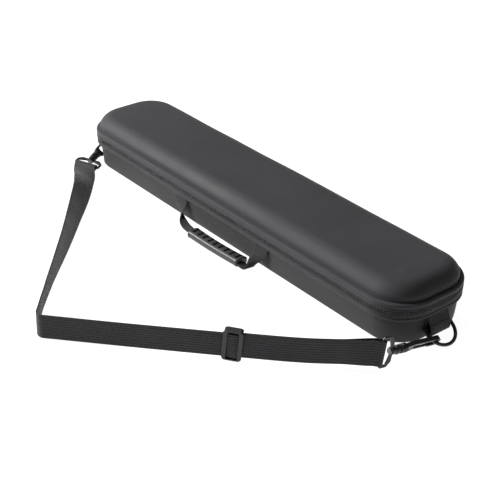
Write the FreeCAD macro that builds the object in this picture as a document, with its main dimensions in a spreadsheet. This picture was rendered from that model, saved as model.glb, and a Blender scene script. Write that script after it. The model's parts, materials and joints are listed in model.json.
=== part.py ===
import FreeCAD, Part
import math
import os

import Sketcher
from FreeCAD import Placement, Rotation, Vector

# Long zipped hard-shell carrying case with a side handle, D-rings and a shoulder strap.
# Millimetres. +X is the length (right end positive), -Y the front with the handle, +Z up.
# The origin is the centre of the flat bottom.

SIZES = {
    # outside of the case
    "case_length": 620.0, "case_width": 128.0, "case_height": 71.6, "corner_radius": 48.0,
    # base wall: inset from the widest outline at the bottom and below the zip band
    "foot_inset": 7.7, "wall_inset": 4.7, "wall_height": 32.0, "foot_radius": 4.0,
    # where the two halves part, and the gap between them
    "parting_height": 42.2, "parting_gap": 0.4,
    # lid wall inset and the large soft edge of its top
    "lid_inset": 3.4, "lid_edge_radius": 22.4,
    # rolled bindings above and below the zip
    "base_binding_top": 36.6, "lid_binding_low": 48.0, "lid_binding_top": 53.1, "binding_inset": 0.9,
    "binding_round": 2.1,
    # zip tape and coil
    "tape_inset": 1.7, "coil_inset": 0.3, "coil_height": 1.9, "zip_end": 58.0,
    # walls
    "foam_wall": 3.2, "lining_wall": 0.8,
    # fabric strip along the back that joins the halves
    "strip_length": 480.0, "strip_wall": 1.1, "strip_low": 37.2, "strip_height": 10.2,
    # zip sliders and pulls
    "slider_length": 11.0, "slider_height": 8.4, "slider_wall": 2.2, "pull_length": 19.0, "pull_width": 7.0,
    "pull_wall": 1.6,
    # handle: webbing roots, grip and its finger ribs
    "root_spacing": 160.0, "handle_webbing": 25.0, "grip_length": 95.0, "grip_width": 15.0,
    "grip_height": 10.5, "grip_start": -33.0, "grip_front": -77.5, "grip_lift": 0.4, "rib_pitch": 10.2,
    "rib_width": 2.4, "rib_depth": 1.3, "rib_reach": 9.0,
    # D-rings and their webbing tabs
    "ring_wire": 2.0, "ring_half": 18.95, "ring_leg": 4.5, "ring_bar_x": 308.9, "ring_bar_y": -2.0,
    "ring_bar_z": 15.6, "ring_dip": 33.0, "ring_skew": 5.0, "tab_width": 31.0, "tab_middle_y": -1.5,
    "tab_wall": 1.25,
    # snap hooks
    "hook_wall": 5.0, "hook_pin_radius": 2.05, "eye_bar": 24.0, "eye_half": 18.5, "eye_slot": 15.8,
    "eye_wall": 2.8, "hook_reach": 48.2,
    # shoulder strap and its adjuster
    "strap_width": 30.0, "strap_wall": 1.5, "strap_layer_gap": 1.9, "adjuster_length": 21.5,
    "adjuster_height": 37.4,
}
RIB_COUNT = 9

doc = FreeCAD.newDocument("carrying_case")
sheet = doc.addObject("Spreadsheet::Sheet", "Sizes")
for row, (alias, number) in enumerate(SIZES.items(), start=1):
    sheet.set(f"A{row}", alias)
    sheet.set(f"B{row}", str(number))
    sheet.setAlias(f"B{row}", alias)
doc.recompute()

parts = []


def size(alias):
    """A driving size as a plain number."""
    return float(sheet.get(alias))


def amount(expression):
    """The value of an expression on the sheet."""
    result = sheet.evalExpression(expression)
    return float(getattr(result, "Value", result))


def keep(obj, label):
    """Registers a finished sub-part under the name of its file."""
    obj.Label = label
    parts.append(obj)
    return obj


# ---------------------------------------------------------------- sketch and feature helpers

def plane(body, role):
    return next(item for item in body.Origin.OriginFeatures if item.Role == role)


def new_body(label):
    return keep(doc.addObject("PartDesign::Body", label), label)


def new_sketch(body, name, role="XY_Plane", offsets=None):
    """A sketch on one of the body's own planes; offsets maps x, y, z to expressions."""
    sketch = body.newObject("Sketcher::SketchObject", name)
    sketch.AttachmentSupport = [(plane(body, role), "")]
    sketch.MapMode = "FlatFace"
    for axis, expression in (offsets or {}).items():
        sketch.setExpression(f"AttachmentOffset.Base.{axis}", expression)
    return sketch


def rounded_rectangle(sketch, name, half_x, half_y, radius):
    """A centred rounded rectangle whose three sizes are bound to expressions."""
    a, b, r = amount(half_x), amount(half_y), amount(radius)
    first = sketch.GeometryCount
    corners = [(a - r, r - b, -90), (a - r, b - r, 0), (r - a, b - r, 90), (r - a, r - b, 180)]
    lines = [((r - a, -b), (a - r, -b)), ((a, r - b), (a, b - r)), ((a - r, b), (r - a, b)),
             ((-a, b - r), (-a, r - b))]
    for (start, end), (cx, cy, angle) in zip(lines, corners):
        sketch.addGeometry(Part.LineSegment(Vector(*start, 0), Vector(*end, 0)), False)
        circle = Part.Circle(Vector(cx, cy, 0), Vector(0, 0, 1), r)
        arc = Part.ArcOfCircle(circle, math.radians(angle), math.radians(angle + 90))
        sketch.addGeometry(arc, False)
    order = [first + i for i in range(8)]
    for here, after in zip(order, order[1:] + order[:1]):
        sketch.addConstraint(Sketcher.Constraint("Tangent", here, 2, after, 1))
    bottom, right, top, left = order[0], order[2], order[4], order[6]
    arcs = order[1::2]
    for line in (bottom, top):
        sketch.addConstraint(Sketcher.Constraint("Horizontal", line))
    for line in (right, left):
        sketch.addConstraint(Sketcher.Constraint("Vertical", line))
    for arc in arcs[1:]:
        sketch.addConstraint(Sketcher.Constraint("Equal", arcs[0], arc))
    sketch.addConstraint(Sketcher.Constraint("Symmetric", arcs[0], 3, arcs[2], 3, -1, 1))
    sized = (("length", Sketcher.Constraint("DistanceX", left, 1, right, 1, 2 * a), f"2 * ({half_x})"),
             ("width", Sketcher.Constraint("DistanceY", bottom, 1, top, 1, 2 * b), f"2 * ({half_y})"),
             ("radius", Sketcher.Constraint("Radius", arcs[0], r), radius))
    for what, constraint, expression in sized:
        index = sketch.addConstraint(constraint)
        sketch.renameConstraint(index, f"{name}_{what}")
        sketch.setExpression(f"Constraints.{name}_{what}", expression)


def outline(sketch, points):
    """A closed outline; a point given as a pair of points is an arc's middle and end."""
    start = points[0]
    edges = []
    for item in points[1:] + points[:1]:
        if isinstance(item[0], tuple):
            middle, end = item
            edges.append(Part.Arc(Vector(*start, 0), Vector(*middle, 0), Vector(*end, 0)))
        else:
            end = item
            edges.append(Part.LineSegment(Vector(*start, 0), Vector(*end, 0)))
        start = end
    first = sketch.GeometryCount
    for edge in edges:
        sketch.addGeometry(edge, False)
    for index in range(first, first + len(edges)):
        sketch.addConstraint(Sketcher.Constraint("Block", index))


def feature(body, kind, name, profile=None, **expressions):
    """A PartDesign feature whose sizes are bound to expressions."""
    item = body.newObject(f"PartDesign::{kind}", name)
    if profile is not None:
        item.Profile = profile
    for prop, expression in expressions.items():
        item.setExpression(prop, expression)
    return item


def cut_checked(body, item, before):
    """Recomputes a cutting feature and makes sure that it removed something."""
    doc.recompute()
    if item.Shape.Volume > before - 0.01:
        raise RuntimeError(f"{item.Name} in {body.Label} cuts nothing")
    return item


def round_edges(body, name, radius, choose):
    """Fillets the edges of the body's tip for which choose(edge) is true."""
    doc.recompute()
    base = body.Tip
    names = [f"Edge{i}" for i, edge in enumerate(base.Shape.Edges, start=1) if choose(edge)]
    if not names:
        raise RuntimeError(f"no edge to round in {body.Label}")
    item = body.newObject("PartDesign::Fillet", name)
    item.Base = (base, names)
    item.setExpression("Radius", radius)
    doc.recompute()
    return item


def flat_at(height):
    """Chooses edges that lie in the horizontal plane at a height."""
    def choose(edge):
        return all(abs(vertex.Z - height) < 1e-4 for vertex in edge.Vertexes) and \
            abs(edge.BoundBox.ZLength) < 1e-3
    return choose


def case_outline(sketch, name, inset):
    """The case's plan outline, moved in by an inset."""
    rounded_rectangle(sketch, name, f"Sizes.case_length / 2 - ({inset})",
                      f"Sizes.case_width / 2 - ({inset})", f"Sizes.corner_radius - ({inset})")


# ---------------------------------------------------------------- shells, linings and bands

def base_tray(label, skin, wall):
    """A tray with drafted walls; skin is its distance inside the base's outer face."""
    body = new_body(label)
    insets = {"foot": f"Sizes.foot_inset + {skin}", "wall": f"Sizes.wall_inset + {skin}"}
    levels = {"foot": skin, "wall": "Sizes.wall_height"}
    solid = {}
    for place in ("foot", "wall"):
        solid[place] = new_sketch(body, f"{label}_{place}", offsets={"z": levels[place]})
        case_outline(solid[place], place, insets[place])
    loft = body.newObject("PartDesign::AdditiveLoft", f"{label}_draft")
    loft.Profile = solid["foot"]
    loft.Sections = [solid["wall"]]
    loft.Ruled = True
    feature(body, "Pad", f"{label}_rim", solid["wall"], Length="Sizes.parting_height - Sizes.wall_height")
    doc.recompute()
    if skin == "0":
        round_edges(body, f"{label}_foot_round", "Sizes.foot_radius", flat_at(0.0))
    inner = {}
    for place in ("foot", "wall"):
        level = f"{skin} + {wall}" if place == "foot" else levels["wall"]
        inner[place] = new_sketch(body, f"{label}_{place}_inside", offsets={"z": level})
        case_outline(inner[place], place, f"{insets[place]} + {wall}")
    before = body.Tip.Shape.Volume
    hollow = body.newObject("PartDesign::SubtractiveLoft", f"{label}_hollow")
    hollow.Profile = inner["foot"]
    hollow.Sections = [inner["wall"]]
    hollow.Ruled = True
    cut_checked(body, hollow, before)
    before = hollow.Shape.Volume
    mouth = feature(body, "Pocket", f"{label}_mouth", inner["wall"],
                    Length="Sizes.parting_height - Sizes.wall_height")
    mouth.Reversed = True
    cut_checked(body, mouth, before)


def lid_dome(label, skin, wall):
    """The lid's shell or lining: a cap with a large rounded edge, open below."""
    body = new_body(label)
    low = "Sizes.parting_height + Sizes.parting_gap"
    rim = new_sketch(body, f"{label}_rim", offsets={"z": low})
    case_outline(rim, "rim", f"Sizes.lid_inset + {skin}")
    feature(body, "Pad", f"{label}_cap", rim, Length=f"Sizes.case_height - {skin} - ({low})")
    round_edges(body, f"{label}_edge", f"Sizes.lid_edge_radius - {skin}",
                flat_at(amount(f"Sizes.case_height - {skin}")))
    base = body.Tip
    mouth = min(range(len(base.Shape.Faces)), key=lambda i: base.Shape.Faces[i].CenterOfMass.z)
    before = base.Shape.Volume
    hollow = feature(body, "Thickness", f"{label}_hollow", Value=wall)
    hollow.Base = (base, [f"Face{mouth + 1}"])
    hollow.Reversed = True
    cut_checked(body, hollow, before)


def perimeter_band(label, outer, inner, low, high, rounding=None, open_back=False):
    """A band round the case between two insets and two heights."""
    body = new_body(label)
    ring = new_sketch(body, f"{label}_ring", offsets={"z": low})
    case_outline(ring, "outer", outer)
    case_outline(ring, "inner", inner)
    feature(body, "Pad", f"{label}_pad", ring, Length=f"({high}) - ({low})")
    if rounding:
        reach = amount(f"Sizes.case_width / 2 - ({outer})") - 0.01
        length_reach = amount(f"Sizes.case_length / 2 - ({outer})") - 0.01
        heights = (amount(low), amount(high))

        def on_outer_rim(edge):
            box = edge.BoundBox
            level = abs(box.ZLength) < 1e-3 and any(abs(box.ZMin - h) < 1e-3 for h in heights)
            return level and (box.YMax > reach or box.YMin < -reach or box.XMax > length_reach
                              or box.XMin < -length_reach)
        round_edges(body, f"{label}_round", rounding, on_outer_rim)
    if open_back:
        doc.recompute()
        before = body.Tip.Shape.Volume
        gap = new_sketch(body, f"{label}_gap", offsets={"z": high, "y": "Sizes.zip_end + 50"})
        rounded_rectangle(gap, "gap", "Sizes.case_length", "50", "1")
        cut = feature(body, "Pocket", f"{label}_open_back", gap, Length=f"({high}) - ({low})")
        cut_checked(body, cut, before)


base_tray("base_shell", "0", "Sizes.foam_wall")
base_tray("base_lining", "Sizes.foam_wall", "Sizes.lining_wall")
lid_dome("lid_shell", "0", "Sizes.foam_wall")
lid_dome("lid_lining", "Sizes.foam_wall", "Sizes.lining_wall")
LID_LOW = "Sizes.parting_height + Sizes.parting_gap"
perimeter_band("base_binding", "Sizes.binding_inset", "Sizes.wall_inset", "Sizes.wall_height",
               "Sizes.base_binding_top", rounding="Sizes.binding_round")
perimeter_band("base_zip_tape", "Sizes.tape_inset", "Sizes.wall_inset", "Sizes.base_binding_top",
               "Sizes.parting_height")
perimeter_band("lid_zip_tape", "Sizes.tape_inset", "Sizes.lid_inset", LID_LOW, "Sizes.lid_binding_low")
perimeter_band("lid_binding", "0", "Sizes.lid_inset", "Sizes.lid_binding_low", "Sizes.lid_binding_top",
               rounding="Sizes.binding_round")
perimeter_band("base_zip_coil", "Sizes.coil_inset", "Sizes.tape_inset",
               "Sizes.parting_height - Sizes.coil_height", "Sizes.parting_height", open_back=True)
perimeter_band("lid_zip_coil", "Sizes.coil_inset", "Sizes.tape_inset", LID_LOW,
               f"{LID_LOW} + Sizes.coil_height", open_back=True)


# ---------------------------------------------------------------- primitive helpers

def block(label, centre, extents, rotation=None, bound=()):
    """A box about its centre; bound maps its sides to expressions."""
    box = doc.addObject("Part::Box", label)
    box.Length, box.Width, box.Height = extents
    for prop, expression in dict(bound).items():
        box.setExpression(prop, expression)
    rotation = rotation or Rotation()
    corner = rotation.multVec(Vector(*extents) * -0.5)
    box.Placement = Placement(Vector(*centre) + corner, rotation)
    return box


def rod(start, end, radius, label):
    """A cylinder between two points."""
    axis = end - start
    item = doc.addObject("Part::Cylinder", label)
    item.Radius, item.Height = radius, axis.Length
    item.Placement = Placement(start, Rotation(Vector(0, 0, 1), axis))
    return item


def fused(label, pieces, placement=Placement()):
    item = doc.addObject("Part::MultiFuse", label)
    item.Shapes = pieces
    item.Refine = True
    item.Placement = placement
    return item


# ---------------------------------------------------------------- back strip, stops, anchors

strip = keep(doc.addObject("Part::Box", "rear_hinge_strip"), "rear_hinge_strip")
strip.setExpression("Length", "Sizes.strip_length")
strip.setExpression("Width", "Sizes.strip_wall")
strip.setExpression("Height", "Sizes.strip_height")
strip.Placement = Placement(Vector(-size("strip_length") / 2,
                                   size("case_width") / 2 - size("tape_inset") + 0.3,
                                   size("strip_low")), Rotation())

CORNER_X = size("case_length") / 2 - size("corner_radius")
CORNER_Y = size("case_width") / 2 - size("corner_radius")


def on_corner(side, angle, inset, height):
    """A point near a rear corner: angle runs from the end face towards the back."""
    reach = size("corner_radius") - inset
    return Vector(side * (CORNER_X + reach * math.cos(math.radians(angle))),
                  CORNER_Y + reach * math.sin(math.radians(angle)), height)


for side, name in ((-1, "left"), (1, "right")):
    angle = math.degrees(math.asin((size("zip_end") - CORNER_Y) / size("corner_radius"))) + 7.5
    spin = Rotation(Vector(0, 0, 1), angle if side > 0 else 180 - angle)
    centre = on_corner(side, angle, size("tape_inset") - 0.9, size("parting_height") - 1.9)
    keep(block(f"zip_stop_{name}", centre, (1.8, 6.0, 3.6), spin), f"zip_stop_{name}")

DRAFT = math.degrees(math.atan((size("foot_inset") - size("wall_inset")) / size("wall_height")))


def front_wall(height):
    """The front wall's y at a height below the zip band."""
    return -(size("case_width") / 2 - size("wall_inset")
             - (size("wall_height") - height) * math.tan(math.radians(DRAFT)))


for side, name in ((-1, "left"), (1, "right")):
    length = 4.6
    middle = size("wall_height") - 0.3 - length / 2
    centre = (side * size("root_spacing") / 2, front_wall(middle) - 0.753, middle)
    anchor = block(f"handle_anchor_{name}", centre, (size("handle_webbing"), 1.5, length),
                   Rotation(Vector(1, 0, 0), DRAFT), {"Length": "Sizes.handle_webbing"})
    keep(anchor, f"handle_anchor_{name}")


# ---------------------------------------------------------------- ribbons

def ribbon(label, stations, thickness):
    """A webbing solid with ruled faces through stations (centre, width vector, normal)."""
    rings = []
    for centre, across, normal in stations:
        half = across * 0.5
        depth = (normal - across * (normal.dot(across) / across.dot(across))).normalize() * (thickness / 2)
        rings.append([centre - half - depth, centre + half - depth, centre + half + depth,
                      centre - half + depth])
    faces = [Part.Face(Part.makePolygon(ring + ring[:1])) for ring in (rings[0], rings[-1])]
    for low, high in zip(rings, rings[1:]):
        for k in range(4):
            edges = [Part.makeLine(ring[k], ring[(k + 1) % 4]) for ring in (low, high)]
            faces.append(Part.makeRuledSurface(*edges, 1))
    shell = Part.makeShell(faces)
    shell.sewShape()
    solid = Part.makeSolid(shell)
    if solid.Volume < 0:
        solid.reverse()
    item = keep(doc.addObject("Part::Feature", label), label)
    item.Shape = solid
    return item


# ---------------------------------------------------------------- handle

ROOT_Z = size("wall_height") - 5.2
ROOT_Y = front_wall(ROOT_Z) - 1.2
GRIP_Z = size("grip_lift") + size("grip_height") / 2
GRIP_END = size("grip_start") + size("grip_length")


# places along a handle arm: share of the way to the grip, y, height, and its width's x and forward parts
ARM_PLACES = {
    -1: [(0.0, ROOT_Y - 0.1, ROOT_Z, 25.0, 0.0), (0.0, -62.4, 19.0, 23.0, 2.5), (0.09, -65.2, 13.4, 15.0, 7.5),
         (0.2, -68.4, 9.8, 8.0, 11.0), (0.36, -71.6, 7.0, 3.0, 12.6), (0.62, -75.2, 5.0, 0.8, 13.0),
         (1.0, -77.5, 5.65, 0.0, 12.0)],
    1: [(0.0, ROOT_Y - 0.1, ROOT_Z, 25.0, 0.0), (0.0, -62.6, 19.0, 23.0, 3.5), (0.13, -66.8, 13.4, 15.0, 9.0),
        (0.21, -71.4, 8.4, 6.0, 11.5), (0.25, -74.3, 5.2, 2.5, 12.5), (0.42, -76.2, 3.6, 1.0, 12.5),
        (1.0, -77.5, 5.65, 0.0, 12.0)],
}


def handle_arm(label, side):
    """Webbing that hangs from its root, twists until its inner edge is forward, and narrows into the grip."""
    root_x = side * size("root_spacing") / 2
    grip_x = (GRIP_END if side > 0 else size("grip_start")) + side * 0.15
    places = ARM_PLACES[side]
    centres = [Vector(root_x + (grip_x - root_x) * share, y, z) for share, y, z, _, _ in places]
    stations = []
    for i, (_, _, _, wide, forward) in enumerate(places):
        across = Vector(wide, side * forward, 0)
        step = centres[min(i + 1, len(centres) - 1)] - centres[max(i - 1, 0)]
        stations.append((centres[i], across, across.cross(step)))
    stations[0] = (centres[0], Vector(size("handle_webbing"), 0, 0), Vector(0, 1, 0))
    stations[-1] = (centres[-1], stations[-1][1], Vector(0, 0, 1))
    return ribbon(label, stations, 1.7)


handle_arm("handle_webbing_left", -1)
handle_arm("handle_webbing_right", 1)

grip = new_body("handle_grip")
section = new_sketch(grip, "grip_section", "YZ_Plane",
                     {"x": "Sizes.grip_front", "y": "Sizes.grip_lift + Sizes.grip_height / 2",
                      "z": "Sizes.grip_start"})
rounded_rectangle(section, "grip", "Sizes.grip_width / 2", "Sizes.grip_height / 2", "Sizes.grip_height / 2.6")
feature(grip, "Pad", "grip_bar", section, Length="Sizes.grip_length")
doc.recompute()
rib = new_sketch(grip, "grip_rib", offsets={
    "x": f"Sizes.grip_start + (Sizes.grip_length - {RIB_COUNT - 1} * Sizes.rib_pitch) / 2",
    "y": "Sizes.grip_front + 1.2", "z": "Sizes.grip_lift + Sizes.grip_height"})
rounded_rectangle(rib, "rib", "Sizes.rib_width / 2", "Sizes.rib_reach / 2", "Sizes.rib_width / 2.2")
solid_volume = grip.Tip.Shape.Volume
rib_cut = cut_checked(grip, feature(grip, "Pocket", "grip_rib_cut", rib, Length="Sizes.rib_depth"),
                      solid_volume)
ribs = grip.newObject("PartDesign::LinearPattern", "grip_ribs")
ribs.Originals = [rib_cut]
ribs.Direction = (plane(grip, "X_Axis"), [""])
ribs.Occurrences = RIB_COUNT
ribs.setExpression("Length", f"{RIB_COUNT - 1} * Sizes.rib_pitch")
grip.Tip = ribs
doc.recompute()


# ---------------------------------------------------------------- D-rings and tabs

def ring_axes(side):
    """The ring's own axes: out to its bow, along its bar, and its plane's normal."""
    dip, skew = math.radians(size("ring_dip")), math.radians(size("ring_skew"))
    down = Vector(side * math.cos(dip), 0, -math.sin(dip))
    along = Vector(0, 1, 0)
    bow = down * math.cos(skew) - along * math.sin(skew)
    bar = along * math.cos(skew) + down * math.sin(skew)
    return bow, bar, bow.cross(bar)


def ring_centre(side):
    return Vector(side * size("ring_bar_x"), size("ring_bar_y"), size("ring_bar_z"))


def ring_point(side, angle):
    """A point on the wire's centre line, by the angle round the bow (-90 is the front leg)."""
    bow, bar, _ = ring_axes(side)
    turn = math.radians(angle)
    return ring_centre(side) + bow * (size("ring_leg") + size("ring_half") * math.cos(turn)) \
        + bar * (size("ring_half") * math.sin(turn))


def d_ring(label, side):
    """Round wire bent to a D: bar, two legs and a half-round bow."""
    half, leg, wire = size("ring_half"), size("ring_leg"), size("ring_wire")
    pieces = [rod(Vector(0, -half, 0), Vector(0, half, 0), wire, f"{label}_bar")]
    for end in (-half, half):
        pieces.append(rod(Vector(0, end, 0), Vector(leg, end, 0), wire, f"{label}_leg"))
        knuckle = doc.addObject("Part::Sphere", f"{label}_knuckle")
        knuckle.setExpression("Radius", "Sizes.ring_wire")
        knuckle.Placement.Base = Vector(0, end, 0)
        pieces.append(knuckle)
    bow = doc.addObject("Part::Torus", f"{label}_bow")
    bow.setExpression("Radius1", "Sizes.ring_half")
    bow.setExpression("Radius2", "Sizes.ring_wire")
    bow.Angle3 = 180
    bow.Placement = Placement(Vector(leg, 0, 0), Rotation(Vector(0, 0, 1), -90))
    pieces.append(bow)
    out, along, normal = ring_axes(side)
    place = Placement(ring_centre(side), Rotation(out, along, normal, "XYZ"))
    return keep(fused(label, pieces, place), label)


def ring_tab(label, side):
    """Webbing folded round the ring's bar and sewn in below the binding."""
    wall = size("tab_wall")
    low, high, middle = 11.2, 16.4, size("ring_bar_x") - 0.1
    room = 3.4
    top = size("wall_height") - 0.2
    top_in = size("case_length") / 2 - size("wall_inset") + 0.35

    def mirrored(points):
        flip = []
        for item in points:
            flip.append(tuple((side * x, z) for x, z in item) if isinstance(item[0], tuple)
                        else (side * item[0], item[1]))
        return flip

    body = new_body(label)
    profile = new_sketch(body, f"{label}_profile", "XZ_Plane")
    outer = room + wall
    outline(profile, mirrored([
        (top_in, top), (top_in + 2 * wall + 0.1, top), (middle + outer, high + 1),
        (middle + outer, low), ((middle, low - outer), (middle - outer, low)), (middle - outer, high + 1)]))
    outline(profile, mirrored([
        (middle - room, low), ((middle, low - room), (middle + room, low)), (middle + room, high),
        ((middle, high + room), (middle - room, high))]))
    pad = feature(body, "Pad", f"{label}_pad", profile, Length="Sizes.tab_width")
    pad.Midplane = True
    body.Placement = Placement(Vector(0, size("tab_middle_y"), 0), Rotation())


for side, name in ((-1, "left"), (1, "right")):
    ring_tab(f"ring_tab_{name}", side)
    d_ring(f"d_ring_{name}", side)


# ---------------------------------------------------------------- snap hooks

# for each end: where the eye's far bar lies, where the ring's wire lies in the hook,
# how far the eye is turned from upright, and which way the hook's spine looks
HOOKS = {
    "right": {"side": 1, "bar": Vector(313.4, -90.3, 20.6), "ring_angle": -60, "eye_turn": 0.0,
              "spine": Vector(0.51, 0.12, 0.85)},
    "left": {"side": -1, "bar": Vector(-281.5, -77.0, 6.4), "ring_angle": -69, "eye_turn": 98.0,
             "spine": Vector(-0.62, -0.45, 0.64)},
}


def hook_axes(name):
    """Origin at the swivel, and the axis from the strap's eye to the hook's nose."""
    spec = HOOKS[name]
    held = ring_point(spec["side"], spec["ring_angle"])
    axis = Vector(held - spec["bar"]).normalize()
    return held - axis * size("hook_reach"), axis


def turned(axis, towards):
    """A rotation with local X along the axis and local Z as near as can be to a direction."""
    across = towards.cross(axis).normalize()
    return Rotation(axis, across, axis.cross(across), "XYZ")


def eye_bar_point(name):
    """The middle of the far bar of the strap's eye."""
    origin, axis = hook_axes(name)
    return origin - axis * size("eye_bar")


def spine_direction(name):
    """Square to the hook's axis and to the ring's wire, so that the wire lies level in the throat."""
    side, angle = HOOKS[name]["side"], HOOKS[name]["ring_angle"]
    wire = ring_point(side, angle + 0.5) - ring_point(side, angle - 0.5)
    _, axis = hook_axes(name)
    spine = axis.cross(wire).normalize()
    return spine if spine.dot(HOOKS[name]["spine"]) > 0 else spine * -1


def eye_axes(name):
    origin, axis = hook_axes(name)
    upright = turned(axis, Vector(0, 0, 1))
    spin = Rotation(Vector(1, 0, 0), HOOKS[name]["eye_turn"])
    return Placement(origin, upright.multiply(spin))


def collar(body, kind, name, radius, start, end):
    """A cylinder feature along the hook's axis."""
    item = body.newObject(f"PartDesign::{kind}Cylinder", name)
    item.AttachmentSupport = [(plane(body, "YZ_Plane"), "")]
    item.MapMode = "FlatFace"
    item.AttachmentOffset = Placement(Vector(0, 0, start), Rotation())
    item.Radius, item.Height = radius, end - start
    return item


def hook_eye(name):
    """Flat rectangular loop for the strap, with the boss that holds the swivel pin."""
    body = new_body(f"hook_eye_{name}")
    near, far = -9.0, -(size("eye_bar") + size("eye_wall") / 2)
    half = size("eye_half")
    loop = new_sketch(body, f"eye_loop_{name}", "XZ_Plane")
    outline(loop, [(near, 6.0 - half), (near, half - 6.0), (near - 5.0, half - 0.6), (near - 6.4, half),
                   (far + 2.2, half), (far, half - 2.2), (far, 2.2 - half), (far + 2.2, -half),
                   (near - 6.4, -half), (near - 5.0, 0.6 - half)])
    slot_near, slot_far, slot = -12.4, far + size("eye_wall"), size("eye_slot")
    outline(loop, [(slot_near, 10.0 - slot), (slot_near, slot - 10.0), (slot_near - 3.2, slot),
                   (slot_far, slot), (slot_far, -slot), (slot_near - 3.2, -slot)])
    pad = feature(body, "Pad", f"eye_pad_{name}", loop, Length="Sizes.eye_wall")
    pad.Midplane = True
    collar(body, "Additive", f"eye_boss_{name}", 4.4, -12.0, -0.2)
    collar(body, "Additive", f"eye_flange_{name}", 5.2, -5.6, -2.6)
    doc.recompute()
    before = body.Tip.Shape.Volume
    bore = collar(body, "Subtractive", f"eye_bore_{name}", size("hook_pin_radius"), -12.6, 0.2)
    cut_checked(body, bore, before)
    body.Placement = eye_axes(name)


def hook_pin(name):
    """Swivel rivet: head in the eye, flange in the hook's barrel."""
    head = rod(Vector(-13.7, 0, 0), Vector(-12.4, 0, 0), 3.4, "pin_head")
    shank = rod(Vector(-12.6, 0, 0), Vector(6.2, 0, 0), size("hook_pin_radius"), "pin_shank")
    flange = rod(Vector(5.3, 0, 0), Vector(6.3, 0, 0), 3.1, "pin_flange")
    label = f"hook_pin_{name}"
    return keep(fused(label, [head, shank, flange], eye_axes(name)), label)


GATE_PIVOT = (14.6, -3.7)
GATE_TIP = 41.0


def hook_placement(name):
    origin, axis = hook_axes(name)
    return Placement(origin, turned(axis, spine_direction(name)))


def hook_body(name):
    """Swivel barrel and hook plate; the throat is closed by the gate."""
    body = new_body(f"hook_body_{name}")
    profile = new_sketch(body, f"hook_profile_{name}", "XZ_Plane")
    outline(profile, [(8.0, -3.4), (11.0, -6.3), (18.5, -6.3), (18.5, 2.2), (20.0, 3.7), (50.2, 3.7),
                      ((53.9, 0.0), (50.2, -3.7)), (GATE_TIP + 0.4, -3.7), (GATE_TIP + 0.4, -6.4),
                      (50.0, -6.5), ((56.7, 0.2), (50.0, 6.9)), (17.0, 6.9), (8.0, 4.4)])
    pad = feature(body, "Pad", f"hook_plate_{name}", profile, Length="Sizes.hook_wall")
    pad.Midplane = True
    for index, (radius, start, end) in enumerate(((5.2, 0.6, 3.0), (4.4, 3.0, 4.2), (5.2, 4.2, 9.4))):
        collar(body, "Additive", f"hook_collar_{name}_{index}", radius, start, end)
    doc.recompute()
    for label, radius, start, end in (("bore", size("hook_pin_radius") + 0.06, 0.0, 5.2),
                                      ("chamber", 3.3, 5.0, 6.8)):
        before = body.Tip.Shape.Volume
        hollow = collar(body, "Subtractive", f"hook_{label}_{name}", radius, start, end)
        cut_checked(body, hollow, before)
    slot = new_sketch(body, f"hook_slot_{name}", "XZ_Plane")
    outline(slot, [(10.6, -7.0), (19.0, -7.0), (19.0, -0.7), (10.6, -0.7)])
    before = body.Tip.Shape.Volume
    fork = feature(body, "Pocket", f"hook_fork_{name}", slot, Length="3.8")
    fork.Midplane = True
    cut_checked(body, fork, before)
    pivot = body.newObject("PartDesign::AdditiveCylinder", f"hook_pivot_{name}")
    pivot.AttachmentSupport = [(plane(body, "XZ_Plane"), "")]
    pivot.MapMode = "FlatFace"
    pivot_place = Vector(GATE_PIVOT[0], GATE_PIVOT[1], -size("hook_wall") / 2)
    pivot.AttachmentOffset = Placement(pivot_place, Rotation())
    pivot.Radius, pivot.Height = 0.8, size("hook_wall")
    body.Placement = hook_placement(name)


def hook_gate(name):
    """Spring gate with a thumb tab, pivoted in the hook's fork."""
    body = new_body(f"hook_gate_{name}")
    profile = new_sketch(body, f"gate_profile_{name}", "XZ_Plane", {"z": "0.5"})
    outline(profile, [(12.3, -5.9), (14.6, -7.9), (17.4, -8.1), (19.0, -6.3), (GATE_TIP, -6.3),
                      (GATE_TIP, -3.9), (19.6, -3.9), (17.0, -1.7), (12.3, -1.7)])
    pad = feature(body, "Pad", f"gate_pad_{name}", profile, Length="2.4")
    pad.Midplane = True
    doc.recompute()
    before = body.Tip.Shape.Volume
    hole = body.newObject("PartDesign::SubtractiveCylinder", f"gate_hole_{name}")
    hole.AttachmentSupport = [(plane(body, "XZ_Plane"), "")]
    hole.MapMode = "FlatFace"
    hole.AttachmentOffset = Placement(Vector(GATE_PIVOT[0], GATE_PIVOT[1], -3.0), Rotation())
    hole.Radius, hole.Height = 0.87, 6.0
    cut_checked(body, hole, before)
    body.Placement = hook_placement(name)


def hook_spring(name):
    """Torsion spring round the gate's pivot, beside the gate."""
    x, z = GATE_PIVOT
    outer = rod(Vector(x, 0.9, z), Vector(x, 1.75, z), 2.0, "spring_outside")
    inner = rod(Vector(x, 0.8, z), Vector(x, 1.85, z), 0.95, "spring_inside")
    label = f"hook_spring_{name}"
    coil = doc.addObject("Part::Cut", label)
    coil.Base, coil.Tool = outer, inner
    coil.Placement = hook_placement(name)
    return keep(coil, label)


for name in HOOKS:
    hook_eye(name)
    hook_pin(name)
    hook_body(name)
    hook_gate(name)
    hook_spring(name)


# ---------------------------------------------------------------- shoulder strap

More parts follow.
